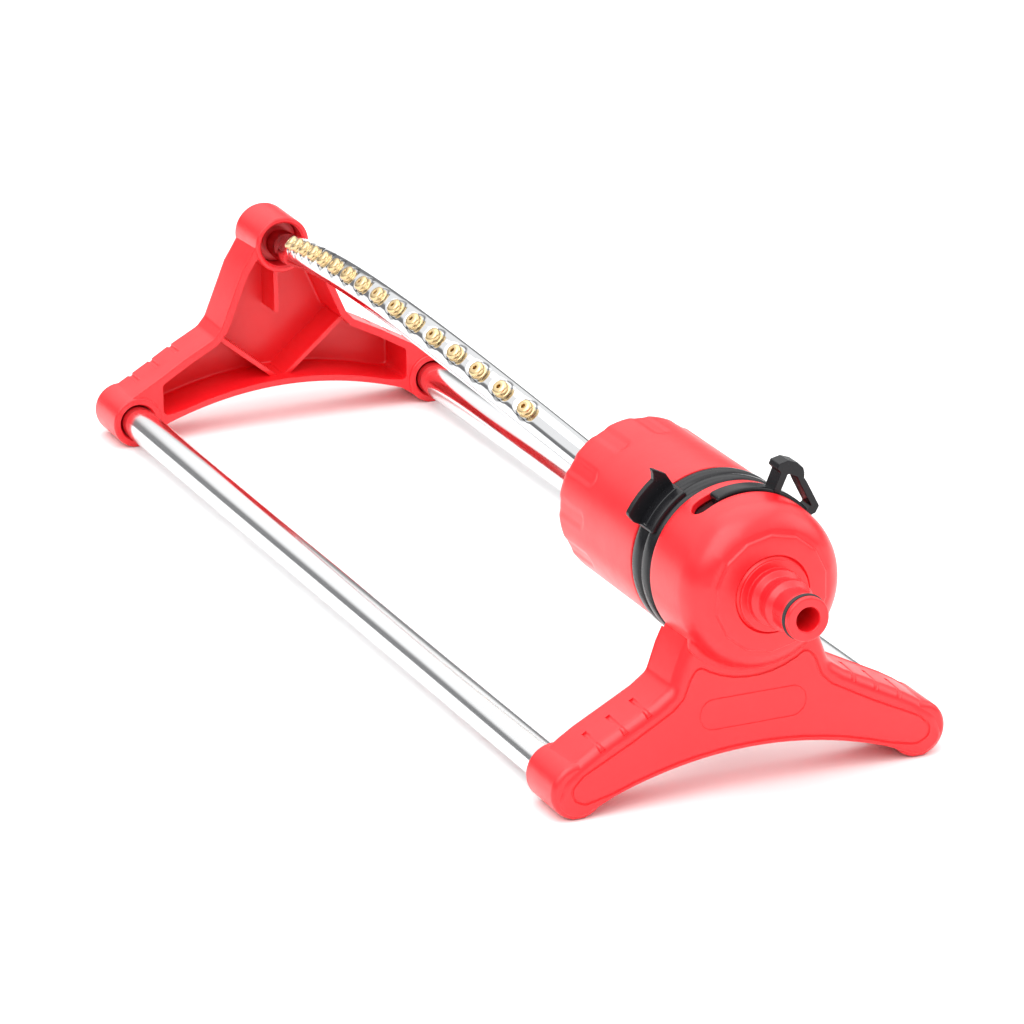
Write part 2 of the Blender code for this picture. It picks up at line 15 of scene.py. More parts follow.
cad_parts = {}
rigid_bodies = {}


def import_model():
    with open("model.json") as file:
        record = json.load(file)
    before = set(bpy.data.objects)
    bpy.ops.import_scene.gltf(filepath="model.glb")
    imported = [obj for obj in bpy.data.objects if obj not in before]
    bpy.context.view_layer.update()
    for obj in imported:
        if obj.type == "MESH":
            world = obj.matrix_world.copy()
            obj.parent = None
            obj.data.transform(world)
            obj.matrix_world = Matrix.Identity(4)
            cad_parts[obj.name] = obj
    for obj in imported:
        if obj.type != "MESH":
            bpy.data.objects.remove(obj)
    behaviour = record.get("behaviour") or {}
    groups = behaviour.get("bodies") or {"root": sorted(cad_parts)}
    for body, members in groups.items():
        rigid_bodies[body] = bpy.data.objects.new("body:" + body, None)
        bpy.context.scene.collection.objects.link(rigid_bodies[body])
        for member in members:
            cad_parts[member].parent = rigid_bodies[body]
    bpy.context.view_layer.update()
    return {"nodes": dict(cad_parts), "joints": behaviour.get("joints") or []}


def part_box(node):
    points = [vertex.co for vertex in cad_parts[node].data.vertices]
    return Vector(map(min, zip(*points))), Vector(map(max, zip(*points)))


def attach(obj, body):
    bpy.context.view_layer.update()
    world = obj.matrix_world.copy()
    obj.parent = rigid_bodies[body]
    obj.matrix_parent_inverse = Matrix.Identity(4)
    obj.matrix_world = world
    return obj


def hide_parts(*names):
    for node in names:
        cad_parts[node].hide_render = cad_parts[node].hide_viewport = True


for leftover in list(bpy.data.objects):
    bpy.data.objects.remove(leftover)
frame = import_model()

# %% [markdown]
# Everything on the sprinkler is built round one line, the axis that the drum rocks about. So all
# sizes below are written in millimetres from one point on it, the middle of the cap's rear rim:
# y runs from the hose to the far foot and z is up. Two matrices then place a shape in the world:
# one for what stands still, and one for what leans over with the spray tube.

# %% Places on the object
swing = next(joint for joint in frame["joints"] if joint["name"] == "spray_swing")
datum = Vector(swing["pos_m"])
low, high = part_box("nozzle_08")
lean = (low + high) / 2 - datum
lean_angle = math.atan2(lean.x, lean.z)
STANDING = Matrix.Translation(datum) @ Matrix.Scale(0.001, 4)
LEANING = Matrix.Translation(datum) @ Matrix.Rotation(lean_angle, 4, "Y") @ Matrix.Scale(0.001, 4)
GROUND = -datum.z * 1000
low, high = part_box("base_tube_right")
TUBE_AT = [(side * (low.x + high.x) * 500, (low.z + high.z) * 500 + GROUND) for side in (-1, 1)]
print("the spray tube leans", round(math.degrees(lean_angle), 1), "degrees")
print("ground is", round(GROUND, 1), "mm below the axis; base tubes at", TUBE_AT)

# %% [markdown]
# ## Drawing tools
# Most of these parts come out of a mould or off a lathe, so three small tools draw nearly all of
# them: one rounds the corners of an outline, one turns an outline about the axis, and one stacks
# outlines into a closed body. First come the corners. No moulded or turned corner is a true edge,
# so each is replaced by a short arc, and a highlight then runs along it as on the real part.

# %% Rounding corners
def around(angle, radius, y=None, centre=(0.0, 0.0)):
    """A point at an angle in degrees from +z towards +x."""
    turn = math.radians(angle)
    x, z = centre[0] + radius * math.sin(turn), centre[1] + radius * math.cos(turn)
    return (x, z) if y is None else Vector((x, y, z))


def ease(t):
    t = min(max(t, 0.0), 1.0)
    return t * t * (3 - 2 * t)


def soften(outline, radius, steps=5, least=9):
    """Rounds corners that turn by more than the least angle; radius is one number or one for each."""
    count, made = len(outline), []
    for i in range(count):
        corner = Vector(outline[i])
        before, after = Vector(outline[i - 1]) - corner, Vector(outline[(i + 1) % count]) - corner
        turn = math.pi - before.angle(after)
        size = radius[i] if isinstance(radius, (list, tuple)) else radius
        if turn < math.radians(least) or size <= 0:
            made.append(tuple(corner))
            continue
        reach = min(size * math.tan(turn / 2), 0.47 * before.length, 0.47 * after.length)
        start, end = corner + before.normalized() * reach, corner + after.normalized() * reach
        centre = corner + (before.normalized() + after.normalized()).normalized() * reach / math.sin(turn / 2)
        for k in range(steps + 1):
            t = k / steps
            arc = (start - centre) * math.sin((1 - t) * turn) + (end - centre) * math.sin(t * turn)
            made.append(tuple(centre + arc / math.sin(turn)))
    return made


def mirrored(right):
    """Closes a right-hand outline with its mirror image."""
    return right + [(-x, z) for x, z in reversed(right) if abs(x) > 1e-6]


sample = soften([(0, 0), (10, 0), (10, 10), (0, 10)], 2.0)
print("a square with rounded corners has", len(sample), "points")

# %% [markdown]
# A mesh made from lists can hold doubled points, and faces that look inwards. One function clears
# up every piece in the same way: it merges the doubles and turns the faces outwards, and the sign
# of the enclosed volume tells which way that is. Then it moves the millimetres to their place in
# the world, and marks as sharp only the edges that really turn a corner.

# %% Making a body
def new_piece(name, points, faces, place=STANDING, crease=32):
    mesh = bpy.data.meshes.new(name)
    mesh.from_pydata([tuple(point) for point in points], [], faces)
    piece = bpy.data.objects.new(name, mesh)
    bpy.context.scene.collection.objects.link(piece)
    tidy(piece, place, crease)
    return piece


def tidy(piece, place=None, crease=32):
    """Merges doubled points, turns the faces outwards, places the mesh and marks its sharp edges."""
    work = bmesh.new()
    work.from_mesh(piece.data)
    bmesh.ops.remove_doubles(work, verts=work.verts, dist=1e-4 if place else 1e-7)
    bmesh.ops.recalc_face_normals(work, faces=work.faces)
    if work.calc_volume(signed=True) < 0:
        bmesh.ops.reverse_faces(work, faces=work.faces)
    work.to_mesh(piece.data)
    work.free()
    if place:
        piece.data.transform(place)
    piece.data.shade_smooth()
    piece.data.set_sharp_from_angle(angle=math.radians(crease))


print("lengths are written in millimetres, and one is", STANDING.to_scale().x, "m in the world")

# %% [markdown]
# Two kinds of body cover the rest. A lathe part is a profile turned about its axis, with a single
# point wherever the profile touches the axis. Anything else is a skin laid over a row of rings
# that all have the same number of points, which can change shape from one ring to the next.

# %% Turning and stacking
def turned(profile, segments, centre=(0.0, 0.0)):
    """Points and faces of a closed (radius, y) outline turned about the y axis."""
    points, rings, faces = [], [], []
    for radius, y in profile:
        count = 1 if radius < 1e-6 else segments
        rings.append([len(points) + i for i in range(count)])
        points += [around(360 * i / segments, radius, y, centre) for i in range(count)]
    for first, second in zip(rings, rings[1:] + rings[:1]):
        if len(first) == 1 and len(second) == 1:
            continue
        for i in range(segments):
            j = (i + 1) % segments
            corners = [ring[k % len(ring)] for ring, k in ((first, i), (first, j), (second, j), (second, i))]
            faces.append(list(dict.fromkeys(corners)))
    return points, faces


def stacked(rings, caps=True):
    """Points and faces of a skin laid over rings that all have the same number of points."""
    count = len(rings[0])
    points = [point for ring in rings for point in ring]
    faces = []
    for row in range(len(rings) - 1):
        for i in range(count):
            j = (i + 1) % count
            faces.append([row * count + i, row * count + j, (row + 1) * count + j, (row + 1) * count + i])
    if caps:
        faces += [list(range(count)), [(len(rings) - 1) * count + i for i in range(count)]]
    return points, faces


print("a turned pin has", len(turned([(0, 0), (1, 0), (1, 5), (0, 5)], 12)[1]), "faces")

# %% [markdown]
# A plate is an outline pushed along y. Its edges are rolled: the outline shrinks along a quarter
# circle as it nears the face. That needs each point to move inwards at right angles to the
# outline, and further at a corner, so that the sides stay parallel.

# %% Plates with rolled edges
def shrunk(outline, insets):
    """Moves each point of an outline inwards by its own distance."""
    area = sum(a[0] * b[1] - b[0] * a[1] for a, b in zip(outline, outline[1:] + outline[:1]))
    hand = 1 if area > 0 else -1
    made = []
    for i, inset in enumerate(insets):
        here, before = Vector(outline[i]), Vector(outline[i - 1])
        after = Vector(outline[(i + 1) % len(outline)])
        first, second = (here - before).normalized(), (after - here).normalized()
        normal = Vector((-first.y - second.y, first.x + second.x)).normalized() * hand
        spread = max(0.5, math.sqrt((1 + first.dot(second)) / 2))
        made.append(tuple(here + normal * inset / spread))
    return made


def level(outline, y, insets):
    """A ring of the outline at one y, moved inwards."""
    return [Vector((x, y, z)) for x, z in shrunk(outline, insets)]


def rolled_edge(y, radius, inwards, steps):
    """Pairs of y and inset along a quarter circle, from the face round to the side."""
    if not radius:
        return [(y, 0.0)]
    turns = [math.radians(90 * k / steps) for k in range(steps + 1)]
    return [(y + inwards * radius * (1 - math.cos(turn)), radius * (1 - math.sin(turn))) for turn in turns]


def plate(outline, y0, y1, front=0.0, back=0.0, steps=4):
    """An outline pushed from y0 to y1 with rolled edges; front and back are the edge radii."""
    levels = rolled_edge(y0, front, 1, steps) + rolled_edge(y1, back, -1, steps)[::-1]
    return stacked([level(outline, y, [inset] * len(outline)) for y, inset in levels])


print("a plate with two rolled edges has", len(plate(sample, 0.0, 3.0, 0.5, 0.5)[1]), "faces")

# %% [markdown]
# A mould adds and takes away. A Boolean modifier does the same with two closed bodies, and the
# exact solver keeps both surfaces true. The result is read off the evaluated object as a plain
# mesh, so no live modifier is left behind.

# %% Cutting and joining
def baked(piece):
    """Replaces a piece's mesh with what its modifiers make of it."""
    bpy.context.view_layer.update()
    result = bpy.data.meshes.new_from_object(piece.evaluated_get(bpy.context.evaluated_depsgraph_get()))
    piece.modifiers.clear()
    piece.data = result


def carve(piece, operation, *shapes):
    """Each shape is (points, faces) in millimetres, or another object's finished mesh in metres."""
    for shape in shapes:
        other = shape if isinstance(shape, bpy.types.Object) else new_piece("cutter", *shape)
        modifier = piece.modifiers.new("carve", "BOOLEAN")
        modifier.operation, modifier.solver, modifier.object = operation, "EXACT", other
        baked(piece)
        bpy.data.objects.remove(other)


def finish_edges(piece):
    """Weighted normals keep the flat faces of a moulding flat right up to their rolled edges."""
    tidy(piece)
    modifier = piece.modifiers.new("flat faces", "WEIGHTED_NORMAL")
    modifier.keep_sharp = True


print("bodies can now be joined and cut")

# %% [markdown]
# ## Geometry Nodes tools
# Notches and nozzles repeat, and grooves follow a path. Node trees built here do both jobs. The
# first tree copies whatever it is given along a step: a row of points, with an instance on each.
# Every tree ends in Realize Instances and Set Material, so what comes out is ordinary mesh.

# %% A tree that repeats a shape
def start_tree(name, sockets):
    tree = bpy.data.node_groups.new(name, "GeometryNodeTree")
    tree.interface.new_socket("Shape", in_out="INPUT", socket_type="NodeSocketGeometry")
    for label, kind in sockets:
        tree.interface.new_socket(label, in_out="INPUT", socket_type=kind)
    tree.interface.new_socket("Shape", in_out="OUTPUT", socket_type="NodeSocketGeometry")
    return tree, tree.nodes.new("NodeGroupInput"), tree.nodes.new("NodeGroupOutput")


def end_tree(tree, shape, given, output):
    realise, paint = tree.nodes.new("GeometryNodeRealizeInstances"), tree.nodes.new("GeometryNodeSetMaterial")
    tree.links.new(shape, realise.inputs[0])
    tree.links.new(realise.outputs[0], paint.inputs["Geometry"])
    tree.links.new(given.outputs["Material"], paint.inputs["Material"])
    tree.links.new(paint.outputs[0], output.inputs[0])


repeat_tree, given, output = start_tree("repeat a shape", (
    ("Count", "NodeSocketInt"), ("Step", "NodeSocketVector"), ("Material", "NodeSocketMaterial")))
copies = repeat_tree.nodes.new("GeometryNodePoints")
number = repeat_tree.nodes.new("GeometryNodeInputIndex")
step = repeat_tree.nodes.new("ShaderNodeVectorMath")
step.operation = "SCALE"
place = repeat_tree.nodes.new("GeometryNodeInstanceOnPoints")
link = repeat_tree.links.new
link(given.outputs["Count"], copies.inputs["Count"])
link(given.outputs["Step"], step.inputs[0])
link(number.outputs[0], step.inputs["Scale"])
link(step.outputs[0], copies.inputs["Position"])
link(copies.outputs[0], place.inputs["Points"])
link(given.outputs["Shape"], place.inputs["Instance"])
end_tree(repeat_tree, place.outputs[0], given, output)
print("repeat tree has", len(repeat_tree.nodes), "nodes")

# %% [markdown]
# The second tree turns a line of points into a closed tube: the line becomes a curve, and a
# circle of the right radius is swept along it with its ends capped. A tree's inputs are set by
# the identifiers of their sockets, before the piece is first evaluated.

# %% A tree that runs a tube along a path
tube_tree, given, output = start_tree("tube along a path", (
    ("Radius", "NodeSocketFloat"), ("Sides", "NodeSocketInt"), ("Material", "NodeSocketMaterial")))
path = tube_tree.nodes.new("GeometryNodeMeshToCurve")
circle = tube_tree.nodes.new("GeometryNodeCurvePrimitiveCircle")
skin = tube_tree.nodes.new("GeometryNodeCurveToMesh")
skin.inputs["Fill Caps"].default_value = True
link = tube_tree.links.new
link(given.outputs["Shape"], path.inputs["Mesh"])
link(given.outputs["Radius"], circle.inputs["Radius"])
link(given.outputs["Sides"], circle.inputs["Resolution"])
link(path.outputs[0], skin.inputs["Curve"])
link(circle.outputs["Curve"], skin.inputs["Profile Curve"])
end_tree(tube_tree, skin.outputs[0], given, output)


def run_tree(piece, tree, **values):
    """Sets a tree's inputs by their identifiers, and leaves plain mesh."""
    modifier = piece.modifiers.new(tree.name, "NODES")
    modifier.node_group = tree
    for socket in tree.interface.items_tree:
        if socket.in_out == "INPUT" and socket.name in values:
            modifier[socket.identifier] = values[socket.name]
    baked(piece)
    tidy(piece)


def tube_along(points, radius, sides, closed=False, place=STANDING, name="tube"):
    mesh = bpy.data.meshes.new(name)
    edges = [(i, i + 1) for i in range(len(points) - 1)] + ([(len(points) - 1, 0)] if closed else [])
    mesh.from_pydata([tuple(point) for point in points], edges, [])
    piece = bpy.data.objects.new(name, mesh)
    bpy.context.scene.collection.objects.link(piece)
    run_tree(piece, tube_tree, Radius=radius, Sides=sides)
    piece.data.transform(place)
    return piece


print("tube tree has", len(tube_tree.nodes), "nodes")

# %% [markdown]
# ## Finishes
# Every finish is one small set of noise textures on Object coordinates, so the grain stays put on
# the piece from any side. Feature sizes are real: a noise scale of 1000 gives features of about a
# millimetre. The first helpers start a finish, stretch its coordinates and add a noise.

# %% Starting a finish
def start_finish(name, colour, roughness, metallic=0.0):
    material = bpy.data.materials.new(name)
    material.use_nodes = True
    nodes = material.node_tree.nodes
    shader = nodes["Principled BSDF"]
    shader.inputs["Base Color"].default_value = (*colour, 1)
    shader.inputs["Roughness"].default_value = roughness
    shader.inputs["Metallic"].default_value = metallic
    material.diffuse_color = (*colour, 1)
    return material, shader, nodes.new("ShaderNodeTexCoord").outputs["Object"]


def stretched(material, coordinates, stretch):
    mapping = material.node_tree.nodes.new("ShaderNodeMapping")
    mapping.inputs["Scale"].default_value = stretch
    material.node_tree.links.new(coordinates, mapping.inputs["Vector"])
    return mapping.outputs[0]


def noise(material, coordinates, scale, detail=3.0, rough=0.5):
    texture = material.node_tree.nodes.new("ShaderNodeTexNoise")
    texture.inputs["Scale"].default_value = scale
    texture.inputs["Detail"].default_value = detail
    texture.inputs["Roughness"].default_value = rough
    material.node_tree.links.new(coordinates, texture.inputs["Vector"])
    return texture.outputs["Fac"]


print("a noise of scale 1000 has features of about", 1000 / 1000, "mm")

# %% [markdown]
# A noise does nothing until it reaches a socket. It can be mapped onto a range of roughness, mix
# two shades of a colour, or raise the surface. All heights go into one bump, added up first,
# because bumps chained one after another wear each other down.

# %% Using a noise
def spread(material, value, low, high, socket, start=0.3, end=0.7):
    """Maps a noise value onto a socket's range."""
    ramp = material.node_tree.nodes.new("ShaderNodeMapRange")
    ramp.inputs["From Min"].default_value, ramp.inputs["From Max"].default_value = start, end
    ramp.inputs["To Min"].default_value, ramp.inputs["To Max"].default_value = low, high
    material.node_tree.links.new(value, ramp.inputs["Value"])
    if socket:
        material.node_tree.links.new(ramp.outputs[0], socket)
    return ramp.outputs[0]


def blend_colours(material, value, first, second, socket):
    mix = material.node_tree.nodes.new("ShaderNodeMix")
    mix.data_type = "RGBA"
    mix.inputs["A"].default_value, mix.inputs["B"].default_value = (*first, 1), (*second, 1)
    material.node_tree.links.new(value, mix.inputs["Factor"])
    material.node_tree.links.new(mix.outputs["Result"], socket)


def grain(material, shader, heights, distance, strength=1.0):
    """Adds up height fields and hands them to one bump."""
    nodes, links = material.node_tree.nodes, material.node_tree.links
    total = heights[0]
    for height in heights[1:]:
        add = nodes.new("ShaderNodeMath")
        links.new(total, add.inputs[0])
        links.new(height, add.inputs[1])
        total = add.outputs[0]
    bump = nodes.new("ShaderNodeBump")
    bump.inputs["Strength"].default_value = strength
    bump.inputs["Distance"].default_value = distance
    links.new(total, bump.inputs["Height"])
    links.new(bump.outputs[0], shader.inputs["Normal"])


print("finish helpers are ready")

# %% [markdown]
# Moulded plastic is never one flat colour. It has a faint grain from the mould, slow changes of
# gloss where the melt cooled at different rates, and small scuffs that catch the light. All four
# moulded finishes are the same recipe with other numbers. The red one also has a thin clear coat,
# which gives the soft second highlight of a fresh, glossy moulding.

# %% Moulded plastics and rubber
def moulded(name, colour, shade, gloss, grain_depth, scuffs=0.5):
    """A moulded finish: colour drift, gloss drift, mould grain and a few long scuffs."""
    material, shader, at = start_finish(name, colour, gloss[0])
    drift = noise(material, at, 22.0, 4.0)
    blend_colours(material, drift, colour, shade, shader.inputs["Base Color"])
    patches = noise(material, at, 60.0, 5.0, 0.6)
    scratched = noise(material, stretched(material, at, (900.0, 60.0, 700.0)), 1.0, 4.0, 0.7)
    scuffed = spread(material, scratched, 0.0, scuffs * 0.18, None, 0.62, 0.80)
    base = spread(material, patches, *gloss, None)
    add = material.node_tree.nodes.new("ShaderNodeMath")
    material.node_tree.links.new(base, add.inputs[0])
    material.node_tree.links.new(scuffed, add.inputs[1])
    material.node_tree.links.new(add.outputs[0], shader.inputs["Roughness"])
    fine = noise(material, at, 2400.0, 2.0)
    flow = spread(material, noise(material, at, 150.0, 2.0), 0.0, 1.6, None, 0.2, 0.8)
    grain(material, shader, [fine, flow, scuffed], grain_depth)
    return material, shader


red_plastic, shader = moulded("red plastic", (0.88, 0.011, 0.018), (0.80, 0.008, 0.014), (0.30, 0.40),
                              0.000018)
shader.inputs["Specular IOR Level"].default_value = 0.55
shader.inputs["Coat Weight"].default_value = 0.12
shader.inputs["Coat Roughness"].default_value = 0.25
black_plastic, shader = moulded("black plastic", (0.010, 0.010, 0.012), (0.007, 0.007, 0.008), (0.18, 0.28),
                                0.000005, 0.9)
shader.inputs["Specular IOR Level"].default_value = 0.30
white_plastic, _ = moulded("white plastic", (0.80, 0.79, 0.74), (0.74, 0.72, 0.66), (0.38, 0.50), 0.00002)
rubber, _ = moulded("rubber seal", (0.020, 0.020, 0.021), (0.030, 0.030, 0.030), (0.55, 0.70), 0.00003)
print("moulded finishes:", red_plastic.name, black_plastic.name, white_plastic.name, rubber.name)

# %% [markdown]
# Drawn tube carries faint lines along its length from the die, so its noise is squeezed across
# the tube and stretched along y. The spray tube is buffed on top of that: less haze, and a slow
# waviness that bends what it mirrors. The nozzles are turned brass, which tarnishes in patches.

# %% Metals
def drawn_metal(name, colour, shade, gloss, line_depth, wave_depth):
    material, shader, at = start_finish(name, colour, gloss[0], 1.0)
    lines = noise(material, stretched(material, at, (2600.0, 9.0, 2600.0)), 1.0, 3.0, 0.6)
    waves = noise(material, stretched(material, at, (90.0, 30.0, 90.0)), 1.0, 2.0)
    blotches = noise(material, at, 45.0, 4.0)
    blend_colours(material, blotches, colour, shade, shader.inputs["Base Color"])
    spread(material, lines, *gloss, shader.inputs["Roughness"])
    tall = spread(material, waves, 0.0, wave_depth / line_depth, None, 0.2, 0.8)
    grain(material, shader, [lines, tall], line_depth)
    return material


polished_tube = drawn_metal("polished tube", (0.74, 0.745, 0.755), (0.70, 0.705, 0.715), (0.05, 0.10),
                            0.000001, 0.00001)
base_aluminium = drawn_metal("base tube aluminium", (0.90, 0.905, 0.91), (0.86, 0.865, 0.875), (0.12, 0.18),
                             0.0000008, 0.000008)
brass = drawn_metal("turned brass", (0.80, 0.62, 0.35), (0.70, 0.50, 0.25), (0.24, 0.34), 0.000003, 0.000004)
spring_steel = drawn_metal("spring steel", (0.62, 0.63, 0.65), (0.48, 0.48, 0.50), (0.25, 0.40),
                           0.00001, 0.000004)
SLOTS = {"red_plastic": red_plastic, "black_plastic": black_plastic, "white_plastic": white_plastic,
         "rubber": rubber, "polished_tube": polished_tube, "aluminium_tube": base_aluminium,
         "brass": brass, "spring_steel": spring_steel}
print("finishes by slot:", ", ".join(SLOTS))

# %% [markdown]
# A finished piece has to move with the right body of the working model, wear its slot's finish,
# and take the place of the plain solids that it stands for. One function says all of that, so no
# piece can be left behind when the sprinkler moves.

# %% Handing a piece over
def hand_over(piece, name, body, slot_name, *nodes):
    """Names a finished piece, gives it its finish, and lets it stand for its working solids."""
    piece.name = piece.data.name = name
    piece.data.materials.clear()
    piece.data.materials.append(SLOTS[slot_name])
    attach(piece, body)
    if nodes:
        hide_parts(*nodes)
    print(name, "has", len(piece.data.polygons), "faces")


# %% [markdown]
# ## The feet
# Both feet are shells about 2.5 mm thick, open on one side, with a round boss at each end for a
# base tube. Seen from the front a foot is one outline, so it is drawn once: shoulder from the top
# down, round the boss, over a small flat to stand on, and along the arch. The arch is a shallow
# parabola, so one number sets how fast it falls away on both feet.

# %% Foot outline
BOSS = 10.0
ARCH_SPREAD = 285


def underside(x, rise):
    """Height of a foot's arch."""
    return rise - x * x / ARCH_SPREAD + GROUND


def foot_line(shoulder, rise):
    right = list(shoulder) + [around(angle, BOSS - 0.4, None, TUBE_AT[1]) for angle in range(36, 213, 8)]
    right += [(x, underside(x, rise)) for x in (*range(50, 1, -4), 0.0)]
    line = mirrored(right)
    return soften(line, [0.0] + [5.0] * (len(line) - 2) + [0.0], least=14)


def boss(centre, y0, y1, front, back):
    """A round boss for a base tube, with a small flat under it to stand on."""
    flat = BOSS * math.tan(math.radians(12))
    outline = [around(angle, BOSS, None, centre) for angle in range(-156, 157, 6)]
    return plate(outline + [(centre[0] + flat, GROUND), (centre[0] - flat, GROUND)], y0, y1, front, back)


front_line = foot_line([(22.0, -14.0), (26.6, -23.5), (30.2, -33.6), (36.0, -37.8), (47.0, -43.6),
                        (57.0, -48.8), (62.5, -52.2)], 14.2)
print("front foot outline has", len(front_line), "points")

# %% [markdown]
# The visible face meets the sides in a rolled edge that is broad along the shoulders, where a hand
# takes hold, and tight along the arch. A Bevel modifier has one width, so the edge is drawn
# instead: the radius at each point follows the direction in which the outline looks there.

# %% Foot shell
def outward(outline):
    """The outward direction at each point of an outline."""
    moved = shrunk(outline, [-0.01] * len(outline))
    return [(Vector(b) - Vector(a)).normalized() for a, b in zip(outline, moved)]


def foot_shell(outline, closed_y, open_y, broad, tight, draft):
    """A body whose closed face has an edge radius that depends on which way each edge looks."""
    faces_to = outward(outline)
    radii = [tight + (broad - tight) * ease((normal.y + 0.55) / 0.8) for normal in faces_to]
    side = 1 if open_y > closed_y else -1
    rings = []
    for k in range(7):
        turn = math.radians(90 * k / 6)
        insets = [draft + radius * (1 - math.sin(turn)) for radius in radii]
        rings.append([Vector((x, closed_y + side * radius * (1 - math.cos(turn)), z))
                      for (x, z), radius in zip(shrunk(outline, insets), radii)])
    for inset, short in ((0.25, 0.6), (0.0, 0.35), (0.12, 0.1), (0.45, 0.0)):
        rings.append(level(outline, open_y - side * short, [inset] * len(outline)))
    return stacked(rings)


print("its outline looks", len(set(round(way.y, 1) for way in outward(front_line))), "ways up and down")

# %% [markdown]
# Three finger notches cross each shoulder. One notch is a short tube laid on the shoulder that
# bends down over the rolled edge, and the repeating tree sets out three of them.

# %% Notch cutters
def notches(first, along, lean, face_y, side_y, mirror):
    """Three notch cutters; lean is the shoulder's outward direction in x and z."""
    away = 1 if side_y > face_y else -1
    reach = 4.4
    line = [(side_y, 0.1), (face_y + away * reach, 0.1)]
    for bend in (15, 30, 45, 60, 75):
        a = math.radians(bend)
        line.append((face_y + away * (reach - reach * math.sin(a)), 0.1 - reach * (1 - math.cos(a))))
    points = [Vector((mirror * (first[0] + lean[0] * h), y, first[1] + lean[1] * h)) for y, h in line]
    cutter = tube_along(points, 1.15, 14, place=Matrix.Identity(4), name="notch")
    run_tree(cutter, repeat_tree, Count=3, Step=(mirror * along[0], 0.0, along[1]))
    cutter.data.transform(STANDING)
    return cutter


front_notches = [notches((39.1, -39.5), (8.6, -4.5), (0.464, 0.886), -18.5, -5.6, side) for side in (-1, 1)]
print("a row of notch cutters has", len(front_notches[0].data.polygons), "faces")

# %% [markdown]
# The front face carries a fine groove a few millimetres inside its edge. It is a closed path
# under the cap, down both shoulders and back along the arch, and the tube tree cuts it.

# %% Groove on the front face
def groove(line, y, radius):
    return tube_along([(x, y, z) for x, z in line], radius, 8, closed=True, name="groove")


groove_line = [around(180 - a, 33.6) for a in (4, 12, 20, 28)] + [around(180 - 36.5, 33.6)]
groove_line += [(23.0, -31.0), (25.6, -37.8), (29.4, -41.4), (44.6, -49.9), (62.2, -58.7), (66.4, -62.9),
                (65.8, -66.8), (61.4, -68.9)]
groove_line += [(x, underside(x, 17.2)) for x in (52, 44, 36, 28, 20, 12, 4)]
groove_line = soften(mirrored(groove_line), 3.4)
frame_line = soften([(19.5, -39.6), (19.5, -50.4), (-19.5, -50.4), (-19.5, -39.6)], 5.0)
print("the face groove turns through", len(groove_line), "points, the small frame through", len(frame_line))

# %% [markdown]
# The cap is a dome grown out of the front face. Its skin is drawn as a grid round the axis,
# because two things on it aren't round: a low fourteen-sided pad under the hose connector, and
# the flare where the dome runs out onto the face of the foot, which stops where the face does.

# %% Cap skin
DRUM_RADIUS = 29.2
PAD_RADIUS, PAD_SIDES = 20.2, 14
CAP_STEPS = 15 * PAD_SIDES
FLARE, FLARE_FROM, FLARE_LENGTH = 2.6, -23.6, 4.2


def pad_flat(angle, radius):
    """How far a flat side of the pad lies inside the circle."""
    side = (angle % (360 / PAD_SIDES)) - 180 / PAD_SIDES
    flat = PAD_RADIUS * (math.cos(math.pi / PAD_SIDES) / math.cos(math.radians(side)) - 1) + 0.2
    return flat * ease((radius - 14) / 4.5) * ease((25 - radius) / 3.5)


def flare(angle, y):
    """How far the dome spreads out onto the face of the foot, below the axis only."""
    if y <= FLARE_FROM:
        return 0
    out = FLARE * (1 - math.sqrt(max(0.0, 1 - ((y - FLARE_FROM) / FLARE_LENGTH) ** 2)))
    return out * ease((58 - abs(angle - 180)) / 10)


def cap_skin():
    outside = [(9.8, -33.1), (12.2, -33.1), (12.5, -32.7), (12.9, -32.45), (13.3, -32.7), (13.6, -33.0),
               (16.0, -32.95), (18.0, -32.8), (19.4, -32.65), (19.9, -32.5), (20.2, -32.2), (20.4, -31.7),
               (20.75, -31.45), (21.6, -31.35), (22.6, -31.0), (23.8, -30.2), (25.0, -29.2), (26.1, -28.0),
               (27.0, -26.7), (27.7, -25.2), (28.2, -23.6), (28.5, -22.4), (28.65, -21.4), (28.75, -20.4),
               (28.8, -19.4), (28.85, -18.4), (28.9, -17.6), (29.0, -14.0), (29.1, -10.0), (29.15, -6.0),
               (DRUM_RADIUS, -2.0), (29.15, -0.6), (28.9, -0.15), (28.5, 0.0)]
    inside = [(25.5, 0.0), (25.5, 10.8), (25.1, 11.2), (23.9, 11.2), (23.5, 10.8), (23.5, -2.0), (27.0, -3.0),
              (27.0, -22.0), (23.0, -27.0), (9.8, -27.0)]
    rings = []
    for radius, y in outside + inside:
        ring = []
        for i in range(CAP_STEPS):
            angle, reach = 360 * i / CAP_STEPS, radius
            if 14 < radius < 25 and y < -28:
                reach += pad_flat(angle, radius)
            if -24 < y < -18 and radius > 28:
                reach += flare(angle, y)
            ring.append(around(angle, reach, y))
        rings.append(ring)
    return stacked(rings + [rings[0]], caps=False)


cap = cap_skin()
print("the cap's skin has", len(cap[1]), "faces")

# %% [markdown]
# A long slot with round ends lets the front stop ring's strip and hook stand out of the cap. The
# cutter follows the cap round, and it widens near the surface, which rolls the edge of the slot.
# A bent end cap can't be one flat face, so the two sides of the outline are zipped together.

# %% Slot in the cap
SLOT_MIDDLE, SLOT_HALF = -8.8, 4.0
SLOT_FROM, SLOT_TO = -37.0, 101.0


